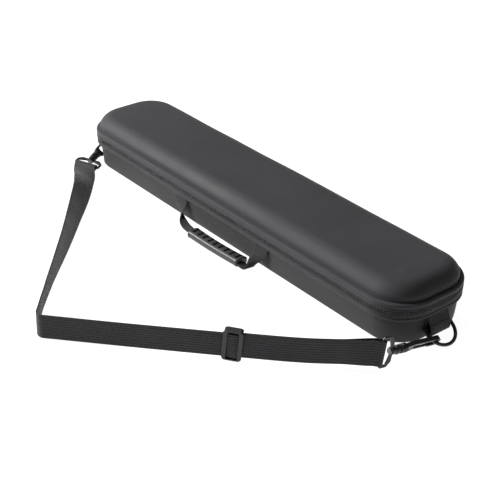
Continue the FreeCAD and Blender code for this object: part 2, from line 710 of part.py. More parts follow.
# route of the strap's middle: x, y, height of the middle, and tilt of its width
# (90 stands on edge, 0 lies flat with the edge towards the case on the right)
FRONT_ROUTE = [
    (308.4, -95.4, 20.4, 90), (284.0, -123.6, 19.8, 90), (257.0, -153.6, 19.5, 90), (210.0, -197.0, 19.4, 90),
    (162.0, -238.5, 18.0, 90), (117.0, -276.0, 16.0, 90), (80.0, -308.0, 15.4, 90), (56.0, -329.5, 15.4, 90),
    (43.0, -341.2, 15.4, 91)]
REAR_ROUTE = [
    (43.0, -341.2, 15.4, 91), (28.5, -330.5, 15.4, 95), (2.0, -309.8, 15.4, 98), (-45.0, -269.5, 15.4, 93),
    (-101.0, -219.5, 15.1, 80), (-156.0, -174.0, 14.0, 66), (-206.0, -132.5, 11.8, 48),
    (-245.0, -105.5, 8.8, 30), (-273.0, -86.0, 6.2, 8)]


FOLD_TAIL = 7.0
LAYER_SPREAD = 2.95


def strap_corner(before, here, after):
    """Radius, tangent length and turn of the arc at a point of the route."""
    first, second = here - before, after - here
    turn = first.getAngle(second)
    tangent = 0.45 * min(first.Length, second.Length)
    return tangent / math.tan(turn / 2), tangent, turn


def strap_line(route):
    """Points along the route, with its corners as tangent arcs: place, direction, height, tilt."""
    flat = [Vector(x, y, 0) for x, y, _, _ in route]
    legs = [(b - a).Length for a, b in zip(flat, flat[1:])]
    marks = [sum(legs[:i]) for i in range(len(flat))]

    def at(distance, column):
        for i in range(len(legs)):
            if distance <= marks[i + 1] or i == len(legs) - 1:
                share = (distance - marks[i]) / legs[i]
                return route[i][column] * (1 - share) + route[i + 1][column] * share

    line = [(flat[0], (flat[1] - flat[0]).normalize(), route[0][2], route[0][3])]
    for i in range(1, len(flat) - 1):
        radius, tangent, turn = strap_corner(flat[i - 1], flat[i], flat[i + 1])
        print(f"strap radius at point {i}: {radius:.1f}")
        into = (flat[i] - flat[i - 1]).normalize()
        out = (flat[i + 1] - flat[i]).normalize()
        swing = 1 if into.cross(out).z > 0 else -1
        start = flat[i] - into * tangent
        centre = start + Vector(-into.y, into.x, 0) * (swing * radius)
        steps = max(2, math.ceil(math.degrees(turn) / 14))
        for step in range(steps + 1):
            spin = Rotation(Vector(0, 0, 1), math.degrees(turn) * swing * step / steps)
            place = centre + spin.multVec(start - centre)
            distance = marks[i] + tangent * (2 * step / steps - 1)
            line.append((place, spin.multVec(into), at(distance, 2), at(distance, 3)))
    line.append((flat[-1], (flat[-1] - flat[-2]).normalize(), route[-1][2], route[-1][3]))
    return line


def fold_rotation(name, towards):
    """Local Z along the eye's far bar, local X as near as can be to the way the strap arrives."""
    bar = eye_axes(name).Rotation.multVec(Vector(0, 0, 1))
    return Rotation(towards, bar.cross(towards), bar, "ZXY")


def eye_station(name, towards, layer, neighbour):
    """The station where a layer of the strap meets the fold round the eye's bar."""
    turn = fold_rotation(name, towards)
    place = eye_bar_point(name) + turn.multVec(Vector(-FOLD_TAIL - 0.2, layer, 0))
    bar = turn.multVec(Vector(0, 0, 1)) * size("strap_width")
    normal = turn.multVec(Vector(0, 1, 0))
    _, across, facing = neighbour
    return place, bar if bar.dot(across) > 0 else bar * -1, normal if normal.dot(facing) > 0 else normal * -1


def strap_stations(line, shift=None):
    """Stations for a ribbon; shift(x) moves it sideways, towards the case when positive."""
    stations = []
    for place, direction, height, tilt in line:
        towards_case = Vector(direction.y, -direction.x, 0)
        turn = math.radians(tilt)
        across = towards_case * math.cos(turn) - Vector(0, 0, 1) * math.sin(turn)
        normal = direction.cross(across)
        offset = towards_case * (shift(place.x) if shift else 0.0)
        stations.append((place + Vector(0, 0, height) + offset, across * size("strap_width"), normal))
    return stations


whole_line = strap_line(FRONT_ROUTE + REAR_ROUTE[1:])
bend = min(range(len(whole_line)), key=lambda i: (whole_line[i][0] - Vector(43.0, -341.2, 0)).Length)
front_line, rear_line = whole_line[:bend + 1], whole_line[bend:]


def front_shift(x):
    """Near the hook's eye the two layers part to go round its bar."""
    near = FRONT_ROUTE[0][0]
    far = FRONT_ROUTE[1][0]
    share = min(1.0, max(0.0, (x - far) / (near - far)))
    return -LAYER_SPREAD * share


def return_shift(x):
    near = FRONT_ROUTE[0][0]
    far = FRONT_ROUTE[1][0]
    share = min(1.0, max(0.0, (x - far) / (near - far)))
    return size("strap_layer_gap") * (1 - share) + LAYER_SPREAD * share


front_stations = strap_stations(front_line, front_shift)
to_right_eye = front_line[0][1] * -1
front_stations[0] = eye_station("right", to_right_eye, -LAYER_SPREAD, front_stations[1])
front_run = ribbon("strap_front_run", front_stations, size("strap_wall"))
rear_stations = strap_stations(rear_line)
to_left_eye = rear_line[-1][1]
rear_stations[-1] = eye_station("left", to_left_eye, LAYER_SPREAD, rear_stations[-2])
rear_run = ribbon("strap_rear_run", rear_stations, size("strap_wall"))
RETURN_END = 196.0
return_line = [item for item in front_line if item[0].x > RETURN_END]
return_stations = strap_stations(return_line, return_shift)
return_stations[0] = eye_station("right", to_right_eye, LAYER_SPREAD, return_stations[1])
ribbon("strap_return_layer", return_stations, size("strap_wall"))

length = sum((b[0] - a[0]).Length for a, b in zip(whole_line, whole_line[1:]))
section_area = size("strap_width") * size("strap_wall")
volume = front_run.Shape.Volume + rear_run.Shape.Volume
print(f"strap length {length:.1f}, volume {volume:.0f}, section times length {section_area * length:.0f}")


def strap_fold(label, name, towards):
    """Webbing wrapped round the far bar of a hook's eye, open towards the strap."""
    outer, inner = LAYER_SPREAD + size("strap_wall") / 2, LAYER_SPREAD - size("strap_wall") / 2
    tail = -FOLD_TAIL
    body = new_body(label)
    profile = new_sketch(body, f"{label}_profile")
    outline(profile, [(tail, -outer), (0, -outer), ((outer, 0), (0, outer)), (tail, outer),
                      (tail, inner), (0, inner), ((inner, 0), (0, -inner)), (tail, -inner)])
    pad = feature(body, "Pad", f"{label}_pad", profile, Length="Sizes.strap_width")
    pad.Midplane = True
    body.Placement = Placement(eye_bar_point(name), fold_rotation(name, towards))


strap_fold("strap_fold_right", "right", to_right_eye)
strap_fold("strap_fold_left", "left", to_left_eye)


# ---------------------------------------------------------------- adjuster

# how far past its route point the adjuster sits, and its lean in the webbing's plane
ADJUSTER_STEP = 5.5
ADJUSTER_LEAN = 5.0


def adjuster():
    """Three-bar slide: two bars in front of the webbing and one behind it."""
    middle = Vector(FRONT_ROUTE[3][0], FRONT_ROUTE[3][1], 0)
    spot = min(front_line, key=lambda item: (item[0] - middle).Length)
    along = spot[1]
    side = Vector(along.y, -along.x, 0)
    long_side, tall = size("adjuster_length"), size("adjuster_height")
    front_face, front_wall_in = -3.4, -1.6
    back_wall_in, back_face = size("strap_layer_gap") + 1.6, size("strap_layer_gap") + 3.4
    opening = size("strap_width") / 2 + 1.6

    def slab(name, x_range, y_range, z_half):
        centre = ((x_range[0] + x_range[1]) / 2, (y_range[0] + y_range[1]) / 2, 0)
        return block(name, centre, (x_range[1] - x_range[0], y_range[1] - y_range[0], 2 * z_half))

    half = long_side / 2
    frame = slab("adjuster_frame", (-half, half), (front_face, back_face), tall / 2)
    passage = slab("adjuster_passage", (-half - 1, half + 1), (front_wall_in, back_wall_in), opening)
    window = slab("adjuster_window", (-half + 4.6, half - 4.6), (front_face - 1, front_wall_in + 1), opening)
    rear_windows = [slab("adjuster_rear_window", (low, high), (back_wall_in - 1, back_face + 1), opening)
                    for low, high in ((-half - 1, -2.6), (2.6, half + 1))]
    tools = fused("adjuster_openings", [passage, window] + rear_windows)
    label = "strap_adjuster"
    item = doc.addObject("Part::Cut", label)
    item.Base, item.Tool = frame, tools
    place = spot[0] + along * ADJUSTER_STEP + Vector(0, 0, spot[2] + 0.1)
    upright = Rotation(along, side, Vector(0, 0, -1), "XYZ")
    item.Placement = Placement(place, upright.multiply(Rotation(Vector(0, 1, 0), ADJUSTER_LEAN)))
    print(f"adjuster at {place}, along {along}")
    return keep(item, label)


adjuster()


# ---------------------------------------------------------------- zip sliders and pulls

def zip_slider(label, pull_label, y_sign):
    """Slider plate outside the coil on the left end, with a lip below and a bail for its pull."""
    face = size("case_length") / 2 - size("coil_inset")
    middle_z = size("parting_height") + size("parting_gap") / 2
    long_side, tall, wall = size("slider_length"), size("slider_height"), size("slider_wall")
    y = y_sign * CORNER_Y
    plate = block(f"{label}_plate", (-(face + 0.35 + wall / 2), y, middle_z), (wall, long_side, tall))
    lip_top = size("parting_height") - size("coil_height") - 0.35
    lip_in = size("case_length") / 2 - size("tape_inset") + 0.15
    lip_out = face + 0.35 + wall
    lip_place = (-(lip_in + lip_out) / 2, y, lip_top - 0.6)
    lip = block(f"{label}_lip", lip_place, (lip_out - lip_in, long_side - 2, 1.2))
    posts = [block(f"{label}_post", (-(face + 0.35 + wall + 1.4), y + offset, middle_z), (3.2, 1.2, 2.6))
             for offset in (-4.3, 4.3)]
    pin_x = -(face + 0.35 + wall + 1.9)
    bail = rod(Vector(pin_x, y - 4.8, middle_z), Vector(pin_x, y + 4.8, middle_z), 0.8, f"{label}_bail")
    keep(fused(label, [plate, lip, bail] + posts), label)
    barrel = rod(Vector(pin_x, y - 3.4, middle_z), Vector(pin_x, y + 3.4, middle_z), 1.7, f"{label}_barrel")
    length, width = size("pull_length"), size("pull_width")
    leaf_place = (pin_x - 0.5, y, middle_z - length / 2)
    leaf = block(f"{label}_leaf", leaf_place, (size("pull_wall"), width - 0.4, length))
    solid = fused(f"{label}_pull_solid", [barrel, leaf])
    hole = rod(Vector(pin_x, y - 6, middle_z), Vector(pin_x, y + 6, middle_z), 0.88, f"{label}_pull_hole")
    pull = doc.addObject("Part::Cut", pull_label)
    pull.Base, pull.Tool = solid, hole
    keep(pull, pull_label)


zip_slider("zip_slider_front", "zip_pull_front", -1)
zip_slider("zip_slider_rear", "zip_pull_rear", 1)


# ---------------------------------------------------------------- checks and files

doc.recompute()
failed = [obj.Name for obj in doc.Objects if "Invalid" in obj.State or "Error" in obj.State]
if failed:
    raise RuntimeError(f"failed objects: {failed}")
os.makedirs("parts", exist_ok=True)
for part in parts:
    shape = part.Shape
    if shape.isNull() or not shape.isValid() or shape.Volume <= 0:
        raise RuntimeError(f"bad shape in {part.Label}")
    shape.exportStep(f"parts/{part.Label}.step")
for name in HOOKS:
    origin, axis = hook_axes(name)
    placement = hook_placement(name)
    pivot = placement.multVec(Vector(GATE_PIVOT[0], 0, GATE_PIVOT[1]))
    print(f"hook {name}: origin {origin}, axis {axis}, gate pivot {pivot}, "
          f"across {placement.Rotation.multVec(Vector(0, 1, 0))}")
for side in (-1, 1):
    print(f"ring {side}: bar {ring_centre(side)}, along {ring_axes(side)[1]}")
print(f"handle root y {ROOT_Y:.2f}, z {ROOT_Z:.2f}; {len(parts)} sub-parts written")
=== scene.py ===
import json
import math

import bmesh
import bpy
from mathutils import Matrix, Vector


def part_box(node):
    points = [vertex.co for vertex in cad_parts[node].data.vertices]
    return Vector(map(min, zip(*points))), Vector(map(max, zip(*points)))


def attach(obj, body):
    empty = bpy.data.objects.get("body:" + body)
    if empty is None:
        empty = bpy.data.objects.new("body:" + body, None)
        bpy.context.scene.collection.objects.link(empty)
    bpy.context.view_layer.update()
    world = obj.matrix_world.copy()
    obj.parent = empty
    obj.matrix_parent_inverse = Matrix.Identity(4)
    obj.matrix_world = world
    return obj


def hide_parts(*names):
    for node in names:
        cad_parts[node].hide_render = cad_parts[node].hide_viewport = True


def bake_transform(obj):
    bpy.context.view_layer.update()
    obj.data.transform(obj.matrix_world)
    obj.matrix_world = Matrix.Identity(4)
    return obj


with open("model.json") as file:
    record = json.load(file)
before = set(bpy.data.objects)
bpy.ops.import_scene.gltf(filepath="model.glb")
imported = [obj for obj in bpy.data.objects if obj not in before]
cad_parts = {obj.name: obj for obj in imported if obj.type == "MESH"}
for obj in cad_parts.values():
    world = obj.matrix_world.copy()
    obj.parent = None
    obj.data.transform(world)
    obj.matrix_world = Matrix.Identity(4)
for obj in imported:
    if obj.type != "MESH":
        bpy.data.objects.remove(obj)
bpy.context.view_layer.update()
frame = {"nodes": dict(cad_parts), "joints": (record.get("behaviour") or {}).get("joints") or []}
MM = 0.001

# ------------------------------------------------------------------ driving sizes, in mm and degrees
HALF_LENGTH, HALF_WIDTH, CORNER = 310.0, 64.0, 48.0
HEIGHT, PARTING, GAP = 71.6, 42.2, 0.4
LID_LOW = PARTING + GAP
FOOT_INSET, WALL_INSET, WALL_TOP, FOOT_ROUND = 7.7, 4.7, 32.0, 4.0
LID_INSET, LID_ROUND = 3.4, 22.4
WALL, LINING = 3.2, 0.8
BASE_BINDING_TOP, LID_BINDING_LOW, LID_BINDING_TOP = 36.6, 47.2, 53.1
TAPE_INSET, COIL_INSET, ZIP_END = 1.1, 0.1, 58.0
COIL_PITCH, COIL_HALF, COIL_RADIUS, COIL_LEAN, COIL_BACK, COIL_OFF = 2.7, 1.1, 0.78, 36, 0.8, 0.95
STITCH_PITCH = 3.0
STRIP_LOW, STRIP_TALL, STRIP_START, STRIP_STEP, STRIP_COLUMNS = 37.4, 9.8, -240, 10, 49
STRAP_WIDTH, STRAP_THICK = 30.0, 1.5
STRAP_DOUBLED, STRAP_TAIL, STRAP_EASE = 158.0, 30.0, 36.0
EYE_BAR, FOLD_TAIL, LAYER_SPREAD, LAYER_GAP = 24.0, 7.0, 2.95, 1.9
EYE_TURN_RIGHT, EYE_TURN_LEFT = 0.0, 98.0
HANDLE_WIDTH, HANDLE_HALF_THICK, HANDLE_ROOT_X = 25.0, 0.85, 80.0
ROOT_THICK, ROOT_HALF_TALL = 1.45, 2.2
GRIP_LOW, GRIP_HIGH = -33.0, 62.0
GRIP_HALF_Y, GRIP_HALF_Z, GRIP_Y, GRIP_Z = 8.7, 5.25, -76.3, 5.65
GRIP_SLOTS, SLOT_PITCH, SLOT_DEPTH = 9, 10.2, 2.0
TAB_WALL, TAB_X, TAB_FOOT_Z, TAB_TOP_Z, RING_SPACE = 1.25, 308.8, 11.2, 31.7, 3.4
ADJUSTER_LEAN, BAR_DEPTH = 5.0, 0.95
ADJUSTER_HALVES, ADJUSTER_ROUND = (10.75, 18.7), 4.2


# ------------------------------------------------------------------ camera, light and floor
CAMERA_PLACE, CAMERA_DOWN, CAMERA_TURN = (0.9759, -0.7963, 0.7007), 29.72, 51.82
LENS, SENSOR, FAR_CLIP = 85.31, 36.0, 200
FLOOR_REACH, FLOOR_LEVEL, FLOOR_GREY = 60.0, -0.0002, 0.25
FLOOR_GLOW, WORLD_LIGHT, KEY_POWER, TOP_POWER = 0.96, 0.08, 135, 14


def add_camera():
    data = bpy.data.cameras.new("camera")
    data.lens, data.sensor_width = LENS, SENSOR
    data.clip_end = FAR_CLIP
    camera = bpy.data.objects.new("camera", data)
    camera.location = CAMERA_PLACE
    camera.rotation_euler = (math.radians(90 - CAMERA_DOWN), 0, math.radians(CAMERA_TURN))
    bpy.context.scene.collection.objects.link(camera)
    bpy.context.scene.camera = camera


def add_area(name, place, target, size, power):
    """Rectangular area light that faces its target."""
    data = bpy.data.lights.new(name, "AREA")
    data.shape = "RECTANGLE"
    data.size, data.size_y = size
    data.energy = power
    light = bpy.data.objects.new(name, data)
    light.location = place
    light.rotation_euler = (Vector(target) - Vector(place)).to_track_quat("-Z", "Y").to_euler()
    bpy.context.scene.collection.objects.link(light)


def add_stage():
    """Pale glowing floor, weak world light, a soft key from the front left and a weak top light."""
    mesh = bpy.data.meshes.new("floor")
    corners = ((-1, -1), (1, -1), (1, 1), (-1, 1))
    mesh.from_pydata([(a * FLOOR_REACH, b * FLOOR_REACH, 0) for a, b in corners], [], [(0, 1, 2, 3)])
    floor = bpy.data.objects.new("floor", mesh)
    floor.location.z = FLOOR_LEVEL
    bpy.context.scene.collection.objects.link(floor)
    paint = bpy.data.materials.new("floor")
    paint.use_nodes = True
    shader = paint.node_tree.nodes["Principled BSDF"]
    shader.inputs["Base Color"].default_value = (FLOOR_GREY, FLOOR_GREY, FLOOR_GREY, 1)
    shader.inputs["Roughness"].default_value = 0.9
    shader.inputs["Specular IOR Level"].default_value = 0.1
    shader.inputs["Emission Color"].default_value = (1, 1, 1, 1)
    shader.inputs["Emission Strength"].default_value = FLOOR_GLOW
    mesh.materials.append(paint)
    world = bpy.data.worlds.new("world")
    world.use_nodes = True
    world.node_tree.nodes["Background"].inputs[0].default_value = (1, 1, 1, 1)
    world.node_tree.nodes["Background"].inputs[1].default_value = WORLD_LIGHT
    bpy.context.scene.world = world
    bpy.context.scene.view_settings.view_transform = "Standard"
    add_area("key", (-1.8, -1.5, 1.55), (-0.1, 0, 0.03), (0.9, 0.7), KEY_POWER)
    add_area("top", (-0.7, 0.3, 2.2), (-0.1, 0, 0), (1.6, 1.2), TOP_POWER)


# ------------------------------------------------------------------ materials
class Graph:
    """Shorthand for shader nodes; inputs are numbers or other nodes' sockets."""

    def __init__(self, name):
        self.material = bpy.data.materials.new(name)
        self.material.use_nodes = True
        self.tree = self.material.node_tree
        self.shader = self.tree.nodes["Principled BSDF"]

    def node(self, kind, inputs=(), output=0, **props):
        made = self.tree.nodes.new(f"ShaderNode{kind}")
        for name, value in props.items():
            setattr(made, name, value)
        for key, value in dict(inputs).items():
            if isinstance(value, bpy.types.NodeSocket):
                self.tree.links.new(value, made.inputs[key])
            else:
                made.inputs[key].default_value = value
        return made.outputs[output]

    def math(self, operation, a, b=0.0):
        return self.node("Math", {0: a, 1: b}, operation=operation)

    def split(self, vector):
        """The three parts of a vector."""
        return [self.node("SeparateXYZ", {0: vector}, i) for i in range(3)]

    def weigh(self, *terms):
        """Sum of (value, weight) pairs."""
        total = None
        for value, weight in terms:
            part = self.math("MULTIPLY", value, weight)
            total = part if total is None else self.math("ADD", total, part)
        return total

    def sine(self, value, period, shift=0.0):
        angle = self.math("ADD", self.math("MULTIPLY", value, math.tau / period), shift)
        return self.math("SINE", angle)

    def noise(self, scale, detail, roughness, place, stretch=None):
        if stretch:
            place = self.node("Mapping", {"Vector": place, "Scale": stretch})
        return self.node("TexNoise", {"Vector": place, "Scale": scale, "Detail": detail,
                                      "Roughness": roughness})

    def blend(self, low, high, factor):
        """Mix of two colours: inputs 6 and 7 and output 2 are the Mix node's colour sockets."""
        return self.node("Mix", {0: factor, 6: low, 7: high}, 2, data_type="RGBA")

    def ramp(self, value, low, high, to_low=0.0, to_high=1.0):
        """Straight ramp from to_low at low to to_high at high, clamped outside."""
        return self.node("MapRange", {0: value, 1: low, 2: high, 3: to_low, 4: to_high})

    def bump(self, height, distance, strength, normal=None):
        inputs = {"Strength": strength, "Distance": distance, "Height": height}
        if normal is not None:
            inputs["Normal"] = normal
        return self.node("Bump", inputs)

    def finish(self, colour, roughness, normal, **constants):
        """Links the three sockets to the shader and sets its constants."""
        for name, socket in (("Base Color", colour), ("Roughness", roughness), ("Normal", normal)):
            self.tree.links.new(socket, self.shader.inputs[name])
        for name, value in constants.items():
            self.shader.inputs[name.replace("_", " ")].default_value = value
        return self.material


def grey(value, tint=(1.0, 1.0, 1.0)):
    return (value * tint[0], value * tint[1], value * tint[2], 1.0)


VIOLET = (1.0, 0.975, 1.09)
CLOUD_RANGE = (0.3, 0.7)


def shell_cloth(name, dark, light, weave=0.9 * MM, depth=0.00012):
    """Fine plain-woven cloth bonded over foam, laid on each face from its own side."""
    g = Graph(name)
    place = g.node("TexCoord", output="Object")
    x, y, z = g.split(place)
    sharpness = 3.0
    facing = [g.math("POWER", g.math("ABSOLUTE", part), sharpness)
              for part in g.split(g.node("TexCoord", output="Normal"))]

    def cloth(u, v):
        over = g.math("MULTIPLY", g.sine(u, weave), g.sine(v, weave))
        twill = g.math("MULTIPLY", g.sine(g.math("ADD", u, v), weave * 1.6), 0.35)
        return g.math("ADD", over, twill)

    woven = g.weigh(*zip((cloth(y, z), cloth(x, z), cloth(x, y)), facing))
    cloud = g.noise(9.0, 3.0, 0.55, place)
    fibre = g.noise(900.0, 2.0, 0.6, place)
    lint = g.ramp(g.noise(260.0, 3.0, 0.7, place), 0.62, 0.8)
    tone = g.weigh((cloud, 0.55), (fibre, 0.45))
    colour = g.blend(grey(dark, VIOLET), grey(light, VIOLET), g.ramp(tone, *CLOUD_RANGE))
    colour = g.blend(colour, grey(light * 1.7, VIOLET), g.math("MULTIPLY", lint, 0.25))
    relief = g.weigh((woven, 0.3), (fibre, 0.9))
    slow = g.bump(g.noise(34.0, 2.0, 0.5, place), 0.0009, 0.5)
    return g.finish(colour, g.ramp(cloud, *CLOUD_RANGE, 0.62, 0.74), g.bump(relief, depth, 0.8, slow),
                    Sheen_Weight=0.06, Sheen_Roughness=0.45, Specular_IOR_Level=0.36)


def webbing(name, dark, light, rib, pick, depth, slant=0.0, sheen=0.25):
    """Webbing on length (u) and width (v) coordinates: ribs with slanting picks between them; its colour
    carries painted shade in the weave's grooves and painted light on its crowns.
    """
    g = Graph(name)
    place = g.node("TexCoord", output="Object")
    u, v, _ = g.split(g.node("UVMap", uv_map="cloth"))
    if slant:
        u = g.math("ADD", u, g.math("MULTIPLY", v, slant))
    across = g.math("ABSOLUTE", g.sine(v, rib * 2))
    row = g.math("FLOOR", g.math("DIVIDE", v, rib))
    odd = g.math("MULTIPLY", g.math("MODULO", row, 2.0), math.pi)
    lean = g.math("ADD", u, g.math("MULTIPLY", across, pick * 0.35))
    picks = g.sine(lean, pick, odd)
    fuzz = g.noise(1400.0, 2.0, 0.7, place)
    height = g.weigh((across, 0.65), (picks, 0.22), (fuzz, 0.35))
    cloud = g.noise(22.0, 3.0, 0.6, place)
    # painted shade and light: the colour follows the weave's height, darker in its grooves and lighter
    # on its crowns, mixed with a random cloud
    tone = g.weigh((height, 0.9), (cloud, 0.3))
    colour = g.blend(grey(dark, VIOLET), grey(light, VIOLET), g.ramp(tone, 0.3, 1.1))
    return g.finish(colour, g.ramp(cloud, *CLOUD_RANGE, 0.62, 0.8), g.bump(height, depth, 0.9),
                    Sheen_Weight=sheen, Sheen_Roughness=0.35, Specular_IOR_Level=0.35)


def moulded(name, dark, light, roughness, grain, scale=700.0, metallic=0.0, wear=0.0):
    """Moulded plastic, rubber or lacquered metal with a fine grain and handling marks."""
    g = Graph(name)
    place = g.node("TexCoord", output="Object")
    cloud = g.noise(60.0, 3.0, 0.6, place)
    fine = g.noise(scale, 2.0, 0.6, place)
    marks = g.ramp(g.noise(240.0, 4.0, 0.7, place, (1.0, 1.0, 0.25)), 0.6, 0.75)
    colour = g.blend(grey(dark), grey(light), g.ramp(cloud, 0.35, 0.65))
    if wear:
        edge = g.ramp(g.node("NewGeometry", output="Pointiness"), 0.52, 0.6)
        rubbed = g.math("MULTIPLY", edge, g.ramp(cloud, 0.4, 0.6))
        bare_metal = grey(0.22)
        colour = g.blend(colour, bare_metal, g.math("MULTIPLY", rubbed, wear))
    rough = g.math("ADD", g.ramp(cloud, *CLOUD_RANGE, *roughness), g.math("MULTIPLY", marks, 0.12))
    return g.finish(colour, rough, g.bump(fine, grain, 0.6), Metallic=metallic)


# the first two numbers are the darkest and the lightest grey
CLOTH_LID = shell_cloth("lid_cloth", 0.019, 0.033)
# painted shade: the base's copy of the shell cloth is set darker than the lid's copy of the same fabric
CLOTH_BASE_SHADED = shell_cloth("base_cloth_shaded", 0.012, 0.022)
CLOTH_LINING = shell_cloth("lining_knit", 0.018, 0.035, weave=1.4 * MM, depth=0.0002)
ROLLED = webbing("rolled_binding", 0.020, 0.050, rib=1.1 * MM, pick=1.0 * MM, depth=0.00012, slant=0.8,
                 sheen=0.12)
TAPE = webbing("zip_tape", 0.020, 0.052, rib=1.2 * MM, pick=1.5 * MM, depth=0.00014, sheen=0.1)
STRAP = webbing("strap_webbing", 0.006, 0.044, rib=3.0 * MM, pick=1.9 * MM, depth=0.0005)
HANDLE = webbing("handle_webbing", 0.004, 0.030, rib=2.4 * MM, pick=1.7 * MM, depth=0.0004, sheen=0.1)
THREAD = webbing("thread", 0.04, 0.095, rib=0.35 * MM, pick=0.5 * MM, depth=0.0001, slant=1.0, sheen=0.3)
COIL = moulded("zip_coil", 0.035, 0.06, roughness=(0.34, 0.5), grain=0.00003)
RUBBER = moulded("grip_rubber", 0.022, 0.038, roughness=(0.4, 0.52), grain=0.00005, scale=900.0)
HARDWARE = moulded("black_hardware", 0.010, 0.018, roughness=(0.3, 0.46), grain=0.00003, scale=500.0,
                   wear=0.18)
STEEL = moulded("dark_steel", 0.12, 0.2, roughness=(0.3, 0.45), grain=0.00002, scale=400.0, metallic=1.0)
PLASTIC = moulded("black_plastic", 0.020, 0.032, roughness=(0.42, 0.56), grain=0.00005)


# ------------------------------------------------------------------ mesh helpers
def put(name, bm, body, material, replaces=(), flat_angle=None):
    """Finishes a bmesh (already in metres) as a piece; it rides a body when one is given."""
    mesh = bpy.data.meshes.new(name)
    bmesh.ops.recalc_face_normals(bm, faces=bm.faces)
    bm.to_mesh(mesh)
    bm.free()
    obj = bpy.data.objects.new(name, mesh)
    bpy.context.scene.collection.objects.link(obj)
    mesh.materials.append(material)
    for polygon in mesh.polygons:
        polygon.use_smooth = True
    if flat_angle:
        mesh.set_sharp_from_angle(angle=math.radians(flat_angle))
    if body:
        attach(obj, body)
    if replaces:
        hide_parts(*replaces)
    return obj


def plan_outline(along, ends, corner):
    """The case's plan outline: (x, y, nx, ny, travel) in mm, counter-clockwise from the rear left."""
    cx, cy = HALF_LENGTH - CORNER, HALF_WIDTH - CORNER
    points = []

    def line(x0, y0, x1, y1, count):
        for i in range(count):
            share = i / count
            points.append((x0 + (x1 - x0) * share, y0 + (y1 - y0) * share, None))

    def arc(x, y, first):
        for i in range(corner):
            points.append((x, y, math.radians(first + 90 * i / corner)))

    arc(-cx, cy, 90)
    line(-HALF_LENGTH, cy, -HALF_LENGTH, -cy, ends)
    arc(-cx, -cy, 180)
    line(-cx, -HALF_WIDTH, cx, -HALF_WIDTH, along)
    arc(cx, -cy, 270)
    line(HALF_LENGTH, -cy, HALF_LENGTH, cy, ends)
    arc(cx, cy, 0)
    line(cx, HALF_WIDTH, -cx, HALF_WIDTH, along)
    normals = ([None] * corner + [(-1, 0)] * ends + [None] * corner + [(0, -1)] * along
               + [None] * corner + [(1, 0)] * ends + [None] * corner + [(0, 1)] * along)
    outline, travel, last = [], 0.0, None
    for (x, y, angle), normal in zip(points, normals):
        if angle is not None:
            normal = (math.cos(angle), math.sin(angle))
            x, y = x + CORNER * normal[0], y + CORNER * normal[1]
        if last:
            travel += math.hypot(x - last[0], y - last[1])
        last = (x, y)
        outline.append((x, y, normal[0], normal[1], travel))
    return outline


def outline_total(outline):
    return outline[-1][4] + math.hypot(outline[0][0] - outline[-1][0], outline[0][1] - outline[-1][1])


def smooth_step(value):
    value = min(1.0, max(0.0, value))
    return value * value * (3 - 2 * value)


def sweep(profile, outline, closed_profile, shape=None):
    """Sweeps a profile of (inset, height) in mm round the outline; returns the bmesh and its rings."""
    bm = bmesh.new()
    uv = bm.loops.layers.uv.new("cloth")
    lengths = [0.0]
    for (a, b), (c, d) in zip(profile, profile[1:] + profile[:1]):
        lengths.append(lengths[-1] + math.hypot(c - a, d - b))
    grid = []
    for inset, height in profile:
        ring = []
        for x, y, nx, ny, _ in outline:
            out, up = (0.0, 0.0) if shape is None else shape(x, ny, inset, height)
            ring.append(bm.verts.new(((x + nx * (out - inset)) * MM, (y + ny * (out - inset)) * MM,
                                      (height + up) * MM)))
        grid.append(ring)
    total = outline_total(outline)
    rows = len(profile) if closed_profile else len(profile) - 1
    for i in range(rows):
        for j in range(len(outline)):
            k = (j + 1) % len(outline)
            face = bm.faces.new((grid[i][j], grid[i][k], grid[(i + 1) % len(grid)][k],
                                 grid[(i + 1) % len(grid)][j]))
            u0, u1 = outline[j][4], outline[k][4] if k else total
            v0, v1 = lengths[i], lengths[i + 1]
            for loop, (u, v) in zip(face.loops, ((u0, v0), (u1, v0), (u1, v1), (u0, v1))):
                loop[uv].uv = (u * MM, v * MM)
    return bm, grid


def close_flat(bm, ring, along, ends, corner):
    """Fills the innermost ring of a shell with strips from its front side to its back side."""
    round_end = 2 * corner + ends
    front = [ring[(round_end + i) % len(ring)] for i in range(along + 1)]
    back = [ring[(2 * round_end + 2 * along - i) % len(ring)] for i in range(along + 1)]
    for i in range(along):
        bm.faces.new((front[i], front[i + 1], back[i + 1], back[i]))
    bm.faces.new([ring[round_end + along + i] for i in range(round_end + 1)])
    bm.faces.new([ring[i % len(ring)] for i in range(round_end + 1)])


def arc_profile(centre, radius, first, last, steps):
    """Points (inset, height) on an arc, angles in degrees from straight outwards."""
    return [(centre[0] - radius * math.cos(math.radians(first + (last - first) * i / steps)),
             centre[1] + radius * math.sin(math.radians(first + (last - first) * i / steps)))
            for i in range(steps + 1)]


# share of a capsule's half length, and share of its radius there
CAPSULE = ((-1.0, 0.45), (-0.72, 1.0), (0.72, 1.0), (1.0, 0.45))


def capsule(bm, centre, axis, half, radius, sides=5):
    """A short round-ended thread or coil turn."""
    axis = axis.normalized()
    side = axis.orthogonal().normalized()
    other = axis.cross(side)
    spokes = [side * math.cos(math.tau * k / sides) + other * math.sin(math.tau * k / sides)
              for k in range(sides)]
    rings = [[bm.verts.new(centre + axis * (half * along) + spoke * (radius * wide)) for spoke in spokes]
             for along, wide in CAPSULE]
    for low, high in zip(rings, rings[1:]):
        for k in range(sides):
            bm.faces.new((low[k], low[(k + 1) % sides], high[(k + 1) % sides], high[k]))
    bm.faces.new(rings[0][::-1])
    bm.faces.new(rings[-1])


